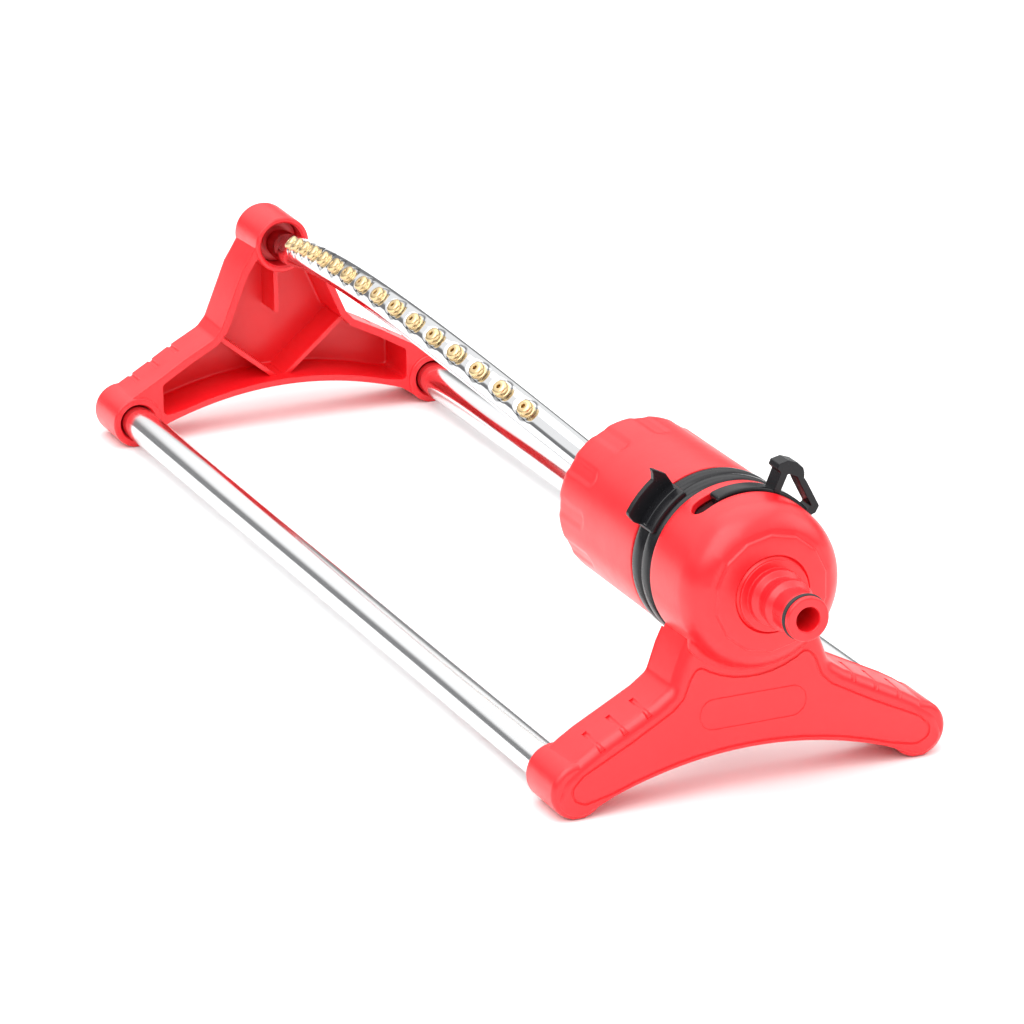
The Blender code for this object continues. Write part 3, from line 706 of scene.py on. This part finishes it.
def cap_slot():
    """A cutter for the slot, drawn as angles and y and wrapped round the cap."""
    reach = math.degrees(SLOT_HALF / DRUM_RADIUS)
    length = SLOT_TO - SLOT_FROM - 2 * reach
    ends = [math.pi * k / 12 for k in range(1, 12)]
    outline = [(SLOT_FROM + reach + length * k / 59, SLOT_MIDDLE + SLOT_HALF) for k in range(60)]
    outline += [(SLOT_TO - reach + reach * math.sin(a), SLOT_MIDDLE + SLOT_HALF * math.cos(a)) for a in ends]
    outline += [(SLOT_TO - reach - length * k / 59, SLOT_MIDDLE - SLOT_HALF) for k in range(60)]
    outline += [(SLOT_FROM + reach - reach * math.sin(a), SLOT_MIDDLE - SLOT_HALF * math.cos(a)) for a in ends]
    rings = []
    for radius, grow in ((25.8, 0.0), (28.7, 0.0), (29.0, 0.12), (29.25, 0.45), (31.0, 2.2)):
        ring = []
        for angle, y in outline:
            out = grow * abs(y - SLOT_MIDDLE) / SLOT_HALF
            turn = math.degrees(grow / DRUM_RADIUS) * math.sqrt(max(0.0, 1 - ((y - SLOT_MIDDLE) / SLOT_HALF) ** 2))
            way = 1 if angle > SLOT_TO - reach else -1 if angle < SLOT_FROM + reach else 0
            ring.append(around(angle + way * turn, radius, y + (out if y > SLOT_MIDDLE else -out)))
        rings.append(ring)
    points, faces = stacked(rings, caps=False)
    count, end = len(outline), len(outline) - 6
    for start in (0, count * (len(rings) - 1)):
        for j in range(count // 2):
            corners = [(end + j) % count, (end + j + 1) % count, (end - j - 1) % count, (end - j) % count]
            faces.append([start + corner for corner in dict.fromkeys(corners)])
    return points, faces


slot = cap_slot()
print("the slot runs through", SLOT_TO - SLOT_FROM, "degrees; its cutter has", len(slot[1]), "faces")

# %% [markdown]
# Thin ribs stiffen the hollow side of both feet. A rib is a narrow plate between two points of the
# foot's outline, long enough to sink into the walls at both ends, so that the join is clean.

# %% Ribs
def rib(start, end, width, y0, y1, radius=0.3):
    run = Vector((end[0] - start[0], end[1] - start[1]))
    side = Vector((-run.y, run.x)).normalized() * width / 2
    corners = [Vector(start) + side, Vector(end) + side, Vector(end) - side, Vector(start) - side]
    return plate([tuple(corner) for corner in corners], y0, y1, radius, radius, 2)


front_ribs = [rib((side * 30.0, -37.0), (side * 5.6, -58.6), 2.0, -17.0, 0.8) for side in (-1, 1)]
print("front ribs:", len(front_ribs))

# %% [markdown]
# The front foot is put together in the order in which its features lie over one another: shell,
# hollow, bosses and ribs first, then a clear space for the drum's front and the cap, the cap and
# its slot, and at the end the sockets for the base tubes, the notches and the grooves.

# %% Front foot
front_foot = new_piece("front foot", *foot_shell(front_line, -18.5, 1.5, 4.2, 1.4, 0.9))
pocket = [(26.5, -36.5), (35.4, -40.6), (46.0, -46.6), (52.0, -50.0), (52.0, -65.6)]
pocket += [(x, underside(x, 16.8)) for x in (44, 33, 22, 11, 0.0)]
pocket = soften(mirrored(pocket), 2.0)
carve(front_foot, "DIFFERENCE", plate(pocket, -16.0, 6.0, front=1.2))
carve(front_foot, "UNION", *[boss(centre, -17.9, 4.5, 2.2, 0.8) for centre in TUBE_AT], *front_ribs)
drum_space = turned([(0, 0.12), (30.4, 0.12), (30.4, 8.0), (0, 8.0)], 96)
cap_space = turned([(0, -30.0), (26.3, -26.2), (28.07, -16.2), (28.07, 8.0), (0, 8.0)], 90)
carve(front_foot, "DIFFERENCE", drum_space, cap_space)
carve(front_foot, "UNION", cap)
socket = [(0, -14.5), (6.9, -14.5), (6.9, 3.9), (7.5, 4.6), (7.5, 6.0), (0, 6.0)]
carve(front_foot, "DIFFERENCE", slot, *[turned(socket, 48, centre) for centre in TUBE_AT], *front_notches)
carve(front_foot, "DIFFERENCE", groove(groove_line, -18.5, 0.42), groove(frame_line, -18.58, 0.26))
finish_edges(front_foot)
hand_over(front_foot, "front_foot_moulding", "base", "red_plastic", "front_foot")

# %% [markdown]
# The rear foot is the same kind of moulding turned round, so its hollow side is the one that
# shows. It has the same shoulders and bosses, a hub at the top that carries the far end of the
# spray tube, and inside it two slanting ribs and a gusset that hold the hub up.

# %% Rear foot
rear_line = foot_line([(9.0, 4.0), (13.5, -3.5), (17.4, -9.5), (22.8, -22.5), (26.6, -31.5), (29.6, -35.0),
                       (41.5, -41.2), (52.0, -47.4), (60.0, -51.9)], 16.3)
rear_foot = new_piece("rear foot", *foot_shell(rear_line, 426.0, 402.0, 4.0, 1.6, 0.6))
pocket = [(6.0, -2.0), (11.2, -5.4), (15.0, -11.0), (20.3, -23.5), (24.3, -33.0), (28.4, -37.6), (40.5, -44.0),
          (52.0, -50.8), (52.0, -63.8)]
pocket += [(x, underside(x, 18.9)) for x in (44, 33, 22, 11, 0.0)]
pocket = soften(mirrored(pocket), 2.0)
carve(rear_foot, "DIFFERENCE", plate(pocket, 398.0, 423.3, back=1.2))
carve(rear_foot, "UNION", *[boss(centre, 401.2, 425.4, 0.9, 2.6) for centre in TUBE_AT],
      *[rib((side * 27.5, -35.0), (side * 2.0, -56.4), 2.0, 408.0, 424.5) for side in (-1, 1)])
gusset = rib((0.0, -30.0), (0.0, -8.0), 2.0, 410.0, 424.5)
hub = soften([(0, 401.2), (11.2, 401.2), (11.4, 424.0), (9.4, 427.2), (5.0, 428.0), (0, 428.0)],
             [0, 1.0, 3.0, 2.0, 1.0, 0])
carve(rear_foot, "UNION", gusset, turned(hub, 64))
hub_bore = [(0, 395.0), (9.7, 395.0), (9.7, 401.4), (8.8, 402.3), (8.8, 421.0), (0, 421.0)]
socket = [(0, 395.0), (7.6, 395.0), (7.6, 401.6), (6.9, 402.4), (6.9, 420.5), (0, 420.5)]
carve(rear_foot, "DIFFERENCE", turned(hub_bore, 80), *[turned(socket, 48, centre) for centre in TUBE_AT])
for side in (-1, 1):
    carve(rear_foot, "DIFFERENCE", notches((41.5, -41.3), (8.4, -4.87), (0.49, 0.87), 426.0, 413.0, side))
finish_edges(rear_foot)
hand_over(rear_foot, "rear_foot_moulding", "base", "red_plastic", "rear_foot")

# %% [markdown]
# ## Hose connector
# The hose snaps onto this spigot: a latch rib holds it, and a rubber ring in the groove behind
# the tip seals it. Both are turned about the axis. Each corner gets its own radius, because a
# moulded part has a broad lead-in at the tip and tight corners where another part seats.

# %% Hose connector and its seal
spigot = [(4.2, -59.0), (7.7, -59.0), (7.7, -57.2), (5.7, -57.1), (5.7, -54.5), (7.5, -54.4), (7.4, -47.2),
          (8.9, -45.4), (8.9, -43.6), (7.9, -42.2), (7.9, -38.6), (9.8, -37.2), (9.8, -34.6), (12.5, -34.6),
          (12.5, -33.4), (9.5, -33.4), (9.5, -27.3), (6.0, -27.3), (6.0, -38.0), (4.2, -38.0)]
corners = [0.6, 1.1, 0.25, 0.2, 0.2, 0.4, 0.6,
           0.6, 0.6, 0.5, 0.8, 0.6, 0.3, 0.35,
           0.3, 0.1, 0.2, 0.2, 0.3, 0.3]
connector = new_piece("connector", *turned(soften(spigot, corners), 96))
for angle in (90, 270):
    seam = [around(angle - 0.8, 7.3), around(angle - 0.5, 7.62), around(angle + 0.5, 7.62), around(angle + 0.8, 7.3)]
    carve(connector, "UNION", plate(seam, -54.0, -47.6))
finish_edges(connector)
hand_over(connector, "hose_connector_moulding", "base", "red_plastic", "hose_connector")
SEAL_RADIUS, SEAL_HALF, SEAL_Y = 7.05, 0.95, -55.8
section = [(SEAL_RADIUS + SEAL_HALF * math.cos(math.radians(a)), SEAL_Y + SEAL_HALF * math.sin(math.radians(a)))
           for a in range(0, 360, 20)]
section[0] = (8.06, SEAL_Y)
seal = new_piece("seal", *turned(section, 96))
hand_over(seal, "connector_seal_ring", "base", "rubber", "connector_oring")

# %% [markdown]
# ## Base tubes
# Two plain drawn tubes join the feet. Each is a turned wall with its cut ends broken by a small
# radius, and both go into one mesh, since nothing moves between them.

# %% Base tubes
def together(*shapes):
    """Puts several shapes into one list of points and faces."""
    points, faces = [], []
    for more, sides in shapes:
        faces += [[i + len(points) for i in side] for side in sides]
        points += more
    return points, faces


levels = (-14.0, 100.0, 200.0, 300.0, 420.0)
wall = soften([(5.7, y) for y in reversed(levels)] + [(6.6, y) for y in levels], 0.25)
base_tubes = new_piece("base tubes", *together(*[turned(wall, 72, centre) for centre in TUBE_AT]))
hand_over(base_tubes, "base_tubes_drawn", "base", "aluminium_tube", "base_tube_left", "base_tube_right")

# %% [markdown]
# ## Drum
# The drum turns with the spray tube, and twelve shallow finger flutes round its rear edge let a
# hand set it. A flute is a groove with a round front end. Each point of the drum's skin is moved
# inwards by how near it lies to the middle line of a flute, which keeps the grooves smooth.

# %% Drum with finger flutes
FLUTES, FLUTE_WIDTH, FLUTE_DEPTH, FLUTE_FROM = 12, 4.3, 0.5, 51.5
DRUM_STEPS = 40 * FLUTES


def flute_depth(angle, y):
    off = (angle % (360 / FLUTES)) - 180 / FLUTES
    across, short = math.radians(off) * DRUM_RADIUS, max(0.0, FLUTE_FROM + FLUTE_WIDTH - y)
    return FLUTE_DEPTH * (1 - ease((math.hypot(across, short) / FLUTE_WIDTH - 0.30) / 0.66))


side_face = [(26.4, 14.6), (28.5, 14.6), (28.95, 14.75)] + [(DRUM_RADIUS, y) for y in (15.2, 24.0, 36.0, 46.0)]
side_face += [(DRUM_RADIUS, 50.0 + 0.55 * k) for k in range(40)]
side_face += [(29.1, 72.4), (28.85, 73.3), (28.4, 74.2), (27.7, 75.1), (26.8, 75.9), (25.8, 76.35), (24.8, 76.5)]
rear_face = [(23.0, 76.5), (22.6, 76.2), (13.0, 76.2), (12.4, 76.5), (10.3, 76.6), (10.0, 76.9), (10.0, 77.8),
             (9.7, 78.1), (4.9, 78.1)]
inner_face = [(4.9, 62.0), (9.0, 62.0), (9.0, 73.5), (25.0, 73.5), (26.4, 71.5)]
rings = []
for radius, y in side_face + rear_face + inner_face:
    fluted = (radius, y) in side_face
    rings.append([])
    for i in range(DRUM_STEPS):
        angle = 360 * i / DRUM_STEPS
        depth = flute_depth(angle, min(y, 74.0)) if fluted else 0.0
        rings[-1].append(around(angle, radius - depth, y))
drum = new_piece("drum", *stacked(rings + [rings[0]], caps=False), place=LEANING)
finish_edges(drum)
hand_over(drum, "drum_moulding", "spray_head", "red_plastic", "drum_housing")

# %% [markdown]
# ## Spray tube
# The spray tube is bent into an arch. Its line is a parabola that runs out softly into the swing
# axis at both ends, because a real bend has no corner. The nozzles stand at even steps measured
# along that line, not along y, so the places are found by walking up the arch in short steps.

# %% The line of the spray tube
RISE, MIDDLE, FLATNESS, BLEND = 33.2, 245.3, 620, 4.0
PITCH, WALK = 14.86, 8


def arch(y):
    """How far the tube's middle stands off the swing axis."""
    height = RISE - (y - MIDDLE) ** 2 / FLATNESS
    return BLEND * math.log1p(math.exp(height / BLEND)) * ease((y - 76) / 28) * ease((402 - y) / 18)


def slope(y):
    return arch(y + 0.5) - arch(y - 0.5)


stations = [137.4]
while len(stations) < 16:
    y = stations[-1]
    for _ in range(WALK):
        y += PITCH / WALK / math.hypot(1, slope(y))
    stations.append(y)
print("nozzles stand from y", round(stations[0], 1), "to", round(stations[-1], 1))

# %% [markdown]
# The tube is necked down where it enters the drum. Before its nozzles went in, a punch flattened a
# round dish at each hole and left a fine ring. A swept circle can't show that, so the skin is a
# stack of rings along the arch: near a dish each ring's crown is pressed down to a flat, and the
# rings are closest together along the part that carries the nozzles.

# %% Spray tube skin
NECK_RADIUS, SWELL = 4.5, 1.4
TUBE_SIDES = 64
DISH_DEPTH, DISH_RADIUS = 0.95, 4.9
CREASE_RADIUS, CREASE_DEPTH = 3.95, 0.17


def nearest_station(y):
    return min(stations, key=lambda station: abs(y - station))


def tube_ring(y, outside):
    run = math.hypot(1, slope(y))
    up_y, up_z = -slope(y) / run, 1 / run
    size = NECK_RADIUS + SWELL * ease((y - 90) / 14)
    if not outside:
        size -= 0.8 + 0.8 * ease((y - 112) / 10) * ease((392 - y) / 10)
    nearest = nearest_station(y)
    along = (y - nearest) * math.hypot(1, slope(nearest))
    ring = []
    for i in range(TUBE_SIDES):
        turn = 2 * math.pi * i / TUBE_SIDES
        across, up = size * math.sin(turn), size * math.cos(turn)
        if outside and up > 0:
            away = math.hypot(along, across)
            up = min(up, size - DISH_DEPTH * (1 - ease((away - DISH_RADIUS) / 1.2)))
            up -= CREASE_DEPTH * math.exp(-((away - CREASE_RADIUS) / 0.34) ** 2)
        ring.append(Vector((across, y + up_y * up, arch(y) + up_z * up)))
    return ring


def steps(start, end, step):
    count = round((end - start) / step)
    return [start + (end - start) * i / count for i in range(count)]


places = steps(58.0, 128.0, 1.6) + steps(128.0, 382.0, 0.55) + steps(382.0, 408.0, 1.6) + [408.0]
outside = [tube_ring(y, True) for y in places]
inside = [tube_ring(y, False) for y in steps(58.0, 408.0, 5.0) + [408.0]][::-1]
skin = stacked(outside + inside + [outside[0]], caps=False)
spray_tube = new_piece("spray tube", *skin, place=LEANING, crease=40)
hand_over(spray_tube, "spray_tube_arched", "spray_head", "polished_tube", "spray_tube")

# %% [markdown]
# The punch leaves a dark line of worked metal where its ring bites, and water dries in it. Each
# point of the tube carries a number that says how deep in such a crease it lies, and the tube's
# finish darkens and dulls there.

# %% Painted shade round the nozzles
# the crease value is a mask for painted shade round each nozzle
crease = spray_tube.data.attributes.new("crease", "FLOAT", "POINT")
to_head = LEANING.inverted()
for i, vertex in enumerate(spray_tube.data.vertices):
    spot = to_head @ vertex.co
    nearest = nearest_station(spot.y)
    run = math.hypot(1, slope(nearest))
    along = (spot.y - nearest) / run + (spot.z - arch(nearest)) * slope(nearest) / run
    above = ((spot.z - arch(nearest)) - (spot.y - nearest) * slope(nearest)) / run
    away = math.hypot(along, spot.x)
    crease.data[i].value = math.exp(-((away - CREASE_RADIUS) / 0.36) ** 2) if above > 3.5 else 0.0
nodes, links = polished_tube.node_tree.nodes, polished_tube.node_tree.links
shader, reader = nodes["Principled BSDF"], nodes.new("ShaderNodeAttribute")
reader.attribute_name = "crease"
# painted shade: the tube's colour mixes towards near black in the crease round each nozzle
painted_shade_mix = nodes.new("ShaderNodeMix")
painted_shade_mix.data_type = "RGBA"
painted_shade_mix.inputs["B"].default_value = (0.055, 0.056, 0.06, 1)
links.new(shader.inputs["Base Color"].links[0].from_socket, painted_shade_mix.inputs["A"])
links.new(reader.outputs["Fac"], painted_shade_mix.inputs["Factor"])
links.new(painted_shade_mix.outputs["Result"], shader.inputs["Base Color"])
print("creases reach", round(max(value.value for value in crease.data), 2))

# %% [markdown]
# ## Nozzles
# Sixteen turned brass nozzles sit in the dishes, square to the tube. They don't stand in a straight
# row, so the repeating tree won't do. A third small tree sets a copy of a shape on each point of a
# line, and the point's own "tilt" attribute leans its copy along the arch.

# %% A tree that sets a shape on points
set_tree, given, output = start_tree("set a shape on points", (
    ("Piece", "NodeSocketObject"), ("Material", "NodeSocketMaterial")))
piece_info = set_tree.nodes.new("GeometryNodeObjectInfo")
tilt = set_tree.nodes.new("GeometryNodeInputNamedAttribute")
tilt.data_type = "FLOAT_VECTOR"
tilt.inputs["Name"].default_value = "tilt"
setting = set_tree.nodes.new("GeometryNodeInstanceOnPoints")
link = set_tree.links.new
link(given.outputs["Piece"], piece_info.inputs["Object"])
link(given.outputs["Shape"], setting.inputs["Points"])
link(piece_info.outputs["Geometry"], setting.inputs["Instance"])
link(tilt.outputs["Attribute"], setting.inputs["Rotation"])
end_tree(set_tree, setting.outputs[0], given, output)
print("setting tree has", len(set_tree.nodes), "nodes")

# %% [markdown]
# A nozzle is turned from bar: a shank in the tube, a thin flange in the dish, a neck, and a domed
# head with the water's hole in the middle. One profile holds all of it, as pairs of radius and
# height above the middle of the tube.

# %% Nozzles
head = [(0.0, 4.3), (1.6, 4.3), (1.6, 4.7), (3.1, 4.7), (3.15, 5.0), (3.0, 5.12), (2.72, 5.2), (2.66, 5.35),
        (2.66, 5.7), (2.8, 5.85), (2.9, 6.1), (2.92, 6.8), (2.84, 7.2), (2.62, 7.5), (2.25, 7.72), (1.75, 7.86),
        (1.15, 7.92), (0.9, 7.86), (0.76, 7.6), (0.72, 7.0), (0.7, 5.3), (0.0, 5.2)]
points, faces = turned([(radius, -up) for radius, up in head], 32)
one = new_piece("one nozzle", [(point.x, point.z, -point.y) for point in points], faces, place=Matrix.Identity(4))
row = bpy.data.meshes.new("row")
row.from_pydata([(0.0, y, arch(y)) for y in stations], [], [])
leans = row.attributes.new("tilt", "FLOAT_VECTOR", "POINT")
for i, y in enumerate(stations):
    leans.data[i].vector = (math.atan(slope(y)), 0.0, 0.0)
nozzles = bpy.data.objects.new("nozzles", row)
bpy.context.scene.collection.objects.link(nozzles)
run_tree(nozzles, set_tree, Piece=one, Material=brass)
nozzles.data.transform(LEANING)
bpy.data.objects.remove(one)
hand_over(nozzles, "nozzles_turned", "spray_head", "brass", *[f"nozzle_{i:02d}" for i in range(1, 17)])

# %% [markdown]
# ## Stop rings
# Two black rings between the cap and the drum set how far the spray swings each way. Each is
# pushed round by its tab and held by friction. A ring is turned with two rounded ridges and a
# groove between them. Its tab, block and lugs are outlines in polar form, pushed along the axis.

# %% Rear stop ring
def sector(inner_radius, outer_radius, start, end, rounding=0.0, step=3.0):
    count = max(2, round(abs(end - start) / step))
    first = math.copysign(math.degrees(2.4 * rounding / inner_radius), end - start)
    angles = [start] + [start + first + (end - start - 2 * first) * i / count for i in range(count + 1)] + [end]
    outline = [around(a, outer_radius) for a in angles] + [around(a, inner_radius) for a in reversed(angles)]
    return soften(outline, rounding, least=30)


def ridge(start, end, edge=28.5, crown=29.6):
    """Half an ellipse across the band, as pairs of radius and y."""
    return [(edge + (crown - edge) * math.sqrt(max(0.0, 1 - (k / 5 - 1) ** 2)), start + (end - start) * k / 10)
            for k in range(11)]


band = [(25.8, 0.4)] + ridge(0.4, 7.1) + ridge(7.5, 14.2) + [(25.8, 14.2)]
rear_ring = new_piece("rear ring", *turned(band, 180))
flag = [(-60, 36.8), (-54, 36.8), (-48, 36.8), (-42, 36.8), (-37.5, 36.8), (-35.6, 38.6), (-34.8, 40.5),
        (-33.4, 39.2), (-30.0, 35.6), (-29.6, 31.0), (-29.6, 28.2), (-38, 28.2), (-46, 28.2), (-54, 28.2),
        (-62, 28.2), (-62.4, 33.5)]
corners = [1.5, 0, 0, 0, 0.7, 0.6, 0.4, 0.5, 0.8, 0, 0, 0, 0, 0, 0, 2.2]
flag = soften([around(angle, radius) for angle, radius in flag], corners, least=5)
tab = plate(flag, 10.7, 13.1, 0.3, 0.3)
block = plate(sector(28.0, 31.3, -62.9, -29.0, 1.0), 1.8, 12.7, 0.9, 0.9)
block_rib = plate(sector(30.0, 31.75, -60.5, -31.0, 0.5), 5.9, 8.3, 0.45, 0.45)
lug = plate(sector(21.5, 26.6, -70.0, -64.0, 0.4), 11.6, 13.9, 0.3, 0.3)
carve(rear_ring, "UNION", tab, block, block_rib, lug)
finish_edges(rear_ring)
hand_over(rear_ring, "rear_stop_ring_moulding", "rear_stop", "black_plastic", "stop_ring_rear")

# %% [markdown]
# The front ring turns inside the cap, so only its strip and its hooked tab stand in the slot. The
# hook is one open outline in polar form. A finger pushes on its flat side, which has five fine
# grip lines, and they are cut with five thin turned pins.

# %% Front stop ring
collar = soften([(24.6, -12.4), (26.6, -12.4), (26.6, -5.2), (24.6, -5.2)], 0.3)
front_ring = new_piece("front ring", *turned(collar, 180))
loop = [(21.0, 29.0), (21.4, 36.0), (18.7, 37.0), (19.0, 38.8), (23.2, 40.7), (28.2, 41.1), (32.4, 40.3),
        (34.6, 39.0), (35.6, 37.6), (38.5, 36.9), (54.2, 33.9), (56.2, 31.5), (55.0, 29.0), (50.0, 29.0),
        (50.3, 31.8), (36.0, 34.9), (31.8, 36.6), (26.0, 36.4), (26.2, 29.0)]
hook = plate(soften([around(angle, radius) for angle, radius in loop], 0.5), -12.2, -5.4, 0.3, 0.3)
strip = plate(sector(25.8, 30.2, -20.0, 56.5, 1.25), -12.1, -5.5, 1.1, 1.1)
arm = plate(sector(21.8, 25.4, 63.0, 71.0, 0.4), -11.8, -5.6, 0.3, 0.3)
lug = plate(sector(21.2, 23.2, 64.0, 70.0, 0.4), -12.0, 13.4, 0.3, 0.3)
carve(front_ring, "UNION", strip, hook, arm, lug)
GRIP_LINES = 5
pin = [(0, -14.0), (0.26, -14.0), (0.26, -3.0), (0, -3.0)]
for k in range(GRIP_LINES):
    middle = Vector(around(33.2, 40.1)).lerp(Vector(around(36.2, 37.5)), (k + 0.5) / GRIP_LINES)
    carve(front_ring, "DIFFERENCE", turned(pin, 10, tuple(middle)))
finish_edges(front_ring)
hand_over(front_ring, "front_stop_ring_moulding", "front_stop", "black_plastic", "stop_ring_front")

# %% [markdown]
# ## Working parts inside
# The turbine, the gears, the reversing lever, its spring and the seals are the working solids
# themselves. Their shapes are right already, so they stay and take their slot's finish.

# %% Finishes for the working parts
kept = 0
for name, node in frame["nodes"].items():
    for holder in node.material_slots:
        slot_name = holder.material.name.split(".")[0]
        if slot_name in SLOTS:
            holder.material = SLOTS[slot_name]
            kept += 1
        else:
            print(name, "has an unknown slot", slot_name)
print(kept, "solids took their slot's finish")

# %% [markdown]
# ## Studio
# The sprinkler stands on a matt, pale floor, large enough to fill the view. It has a trace of
# variation, as paper has, so that it isn't one flat number.

# %% Floor
bpy.ops.mesh.primitive_plane_add(size=12)
floor = bpy.context.object
floor.name = "floor"
paper, shader, at = start_finish("floor paper", (0.93, 0.93, 0.93), 0.85)
fibres = noise(paper, at, 40.0, 5.0)
blend_colours(paper, fibres, (0.935, 0.935, 0.935), (0.92, 0.92, 0.92), shader.inputs["Base Color"])
shader.inputs["Specular IOR Level"].default_value = 0.1
floor.data.materials.append(paper)
print("the floor is", round(floor.dimensions.x, 1), "m across")

# %% [markdown]
# Large soft lights model the red mouldings: a key from the front left, a fill from the right and
# one from above and behind. Bright metal shows only what is round it, so the white surround has a
# dark band round the horizon. The tubes mirror that band and stay readable against the white.

# %% Lights
def soft_light(name, size, power, distance, azimuth, height, aim=Vector((0.0, 0.0, 0.05))):
    data = bpy.data.lights.new(name, "AREA")
    data.shape, data.size, data.energy = "SQUARE", size, power
    light = bpy.data.objects.new(name, data)
    bpy.context.scene.collection.objects.link(light)
    turn, rise = math.radians(azimuth), math.radians(height)
    way = Vector((math.sin(turn) * math.cos(rise), -math.cos(turn) * math.cos(rise), math.sin(rise)))
    light.location = aim + distance * way
    light.rotation_euler = (aim - light.location).to_track_quat("-Z", "Y").to_euler()


soft_light("key", 2.2, 38.0, 2.4, -48, 52)
soft_light("fill", 1.6, 12.0, 2.4, 70, 30)
soft_light("top", 2.4, 22.0, 2.2, 160, 78)
world = bpy.data.worlds.new("white surround")
bpy.context.scene.world = world
world.use_nodes = True
nodes, links = world.node_tree.nodes, world.node_tree.links
sky, direction = nodes["Background"], nodes.new("ShaderNodeTexCoord")
height = nodes.new("ShaderNodeSeparateXYZ")
links.new(direction.outputs["Generated"], height.inputs[0])
shades = nodes.new("ShaderNodeValToRGB")
below, above = shades.color_ramp.elements
below.position, below.color = 0.0, (0.20, 0.20, 0.21, 1)
above.position, above.color = 1.0, (1.0, 1.0, 1.0, 1)
for position, value in ((0.24, 0.24), (0.36, 1.0)):
    shades.color_ramp.elements.new(position).color = (value, value, value, 1)
links.new(height.outputs["Z"], shades.inputs["Fac"])
links.new(shades.outputs[0], sky.inputs["Color"])
sky.inputs["Strength"].default_value = 1.15
print("the surround's shades change at", [round(stop.position, 2) for stop in shades.color_ramp.elements])

# %% [markdown]
# ## Camera
# A long lens looks from the front left and a little above, so the feet and the tubes keep nearly
# parallel lines. Its place is written the way one would say it on a film set: the point it aims
# at, how far round, how high, how much it is tipped, and how far away it stands.

# %% Camera
camera = bpy.data.objects.new("camera", bpy.data.cameras.new("camera"))
bpy.context.scene.collection.objects.link(camera)
bpy.context.scene.camera = camera
camera.data.lens, camera.data.sensor_width, camera.data.clip_end = 197.6, 36, 20
AIM = datum + Vector((-0.013064, 0.1495, -0.02828))
ROUND, HEIGHT, TIP, DISTANCE = -23.585, 19.790, -0.8467, 2.00219
turn = Matrix.Rotation(math.radians(ROUND), 4, "Z") @ Matrix.Rotation(math.radians(90 - HEIGHT), 4, "X")
turn = turn @ Matrix.Rotation(math.radians(TIP), 4, "Z")
camera.matrix_world = Matrix.Translation(AIM) @ turn @ Matrix.Translation((0, 0, DISTANCE))
bpy.context.scene.view_settings.view_transform = "Standard"
print("camera stands at", [round(v, 3) for v in camera.matrix_world.translation])
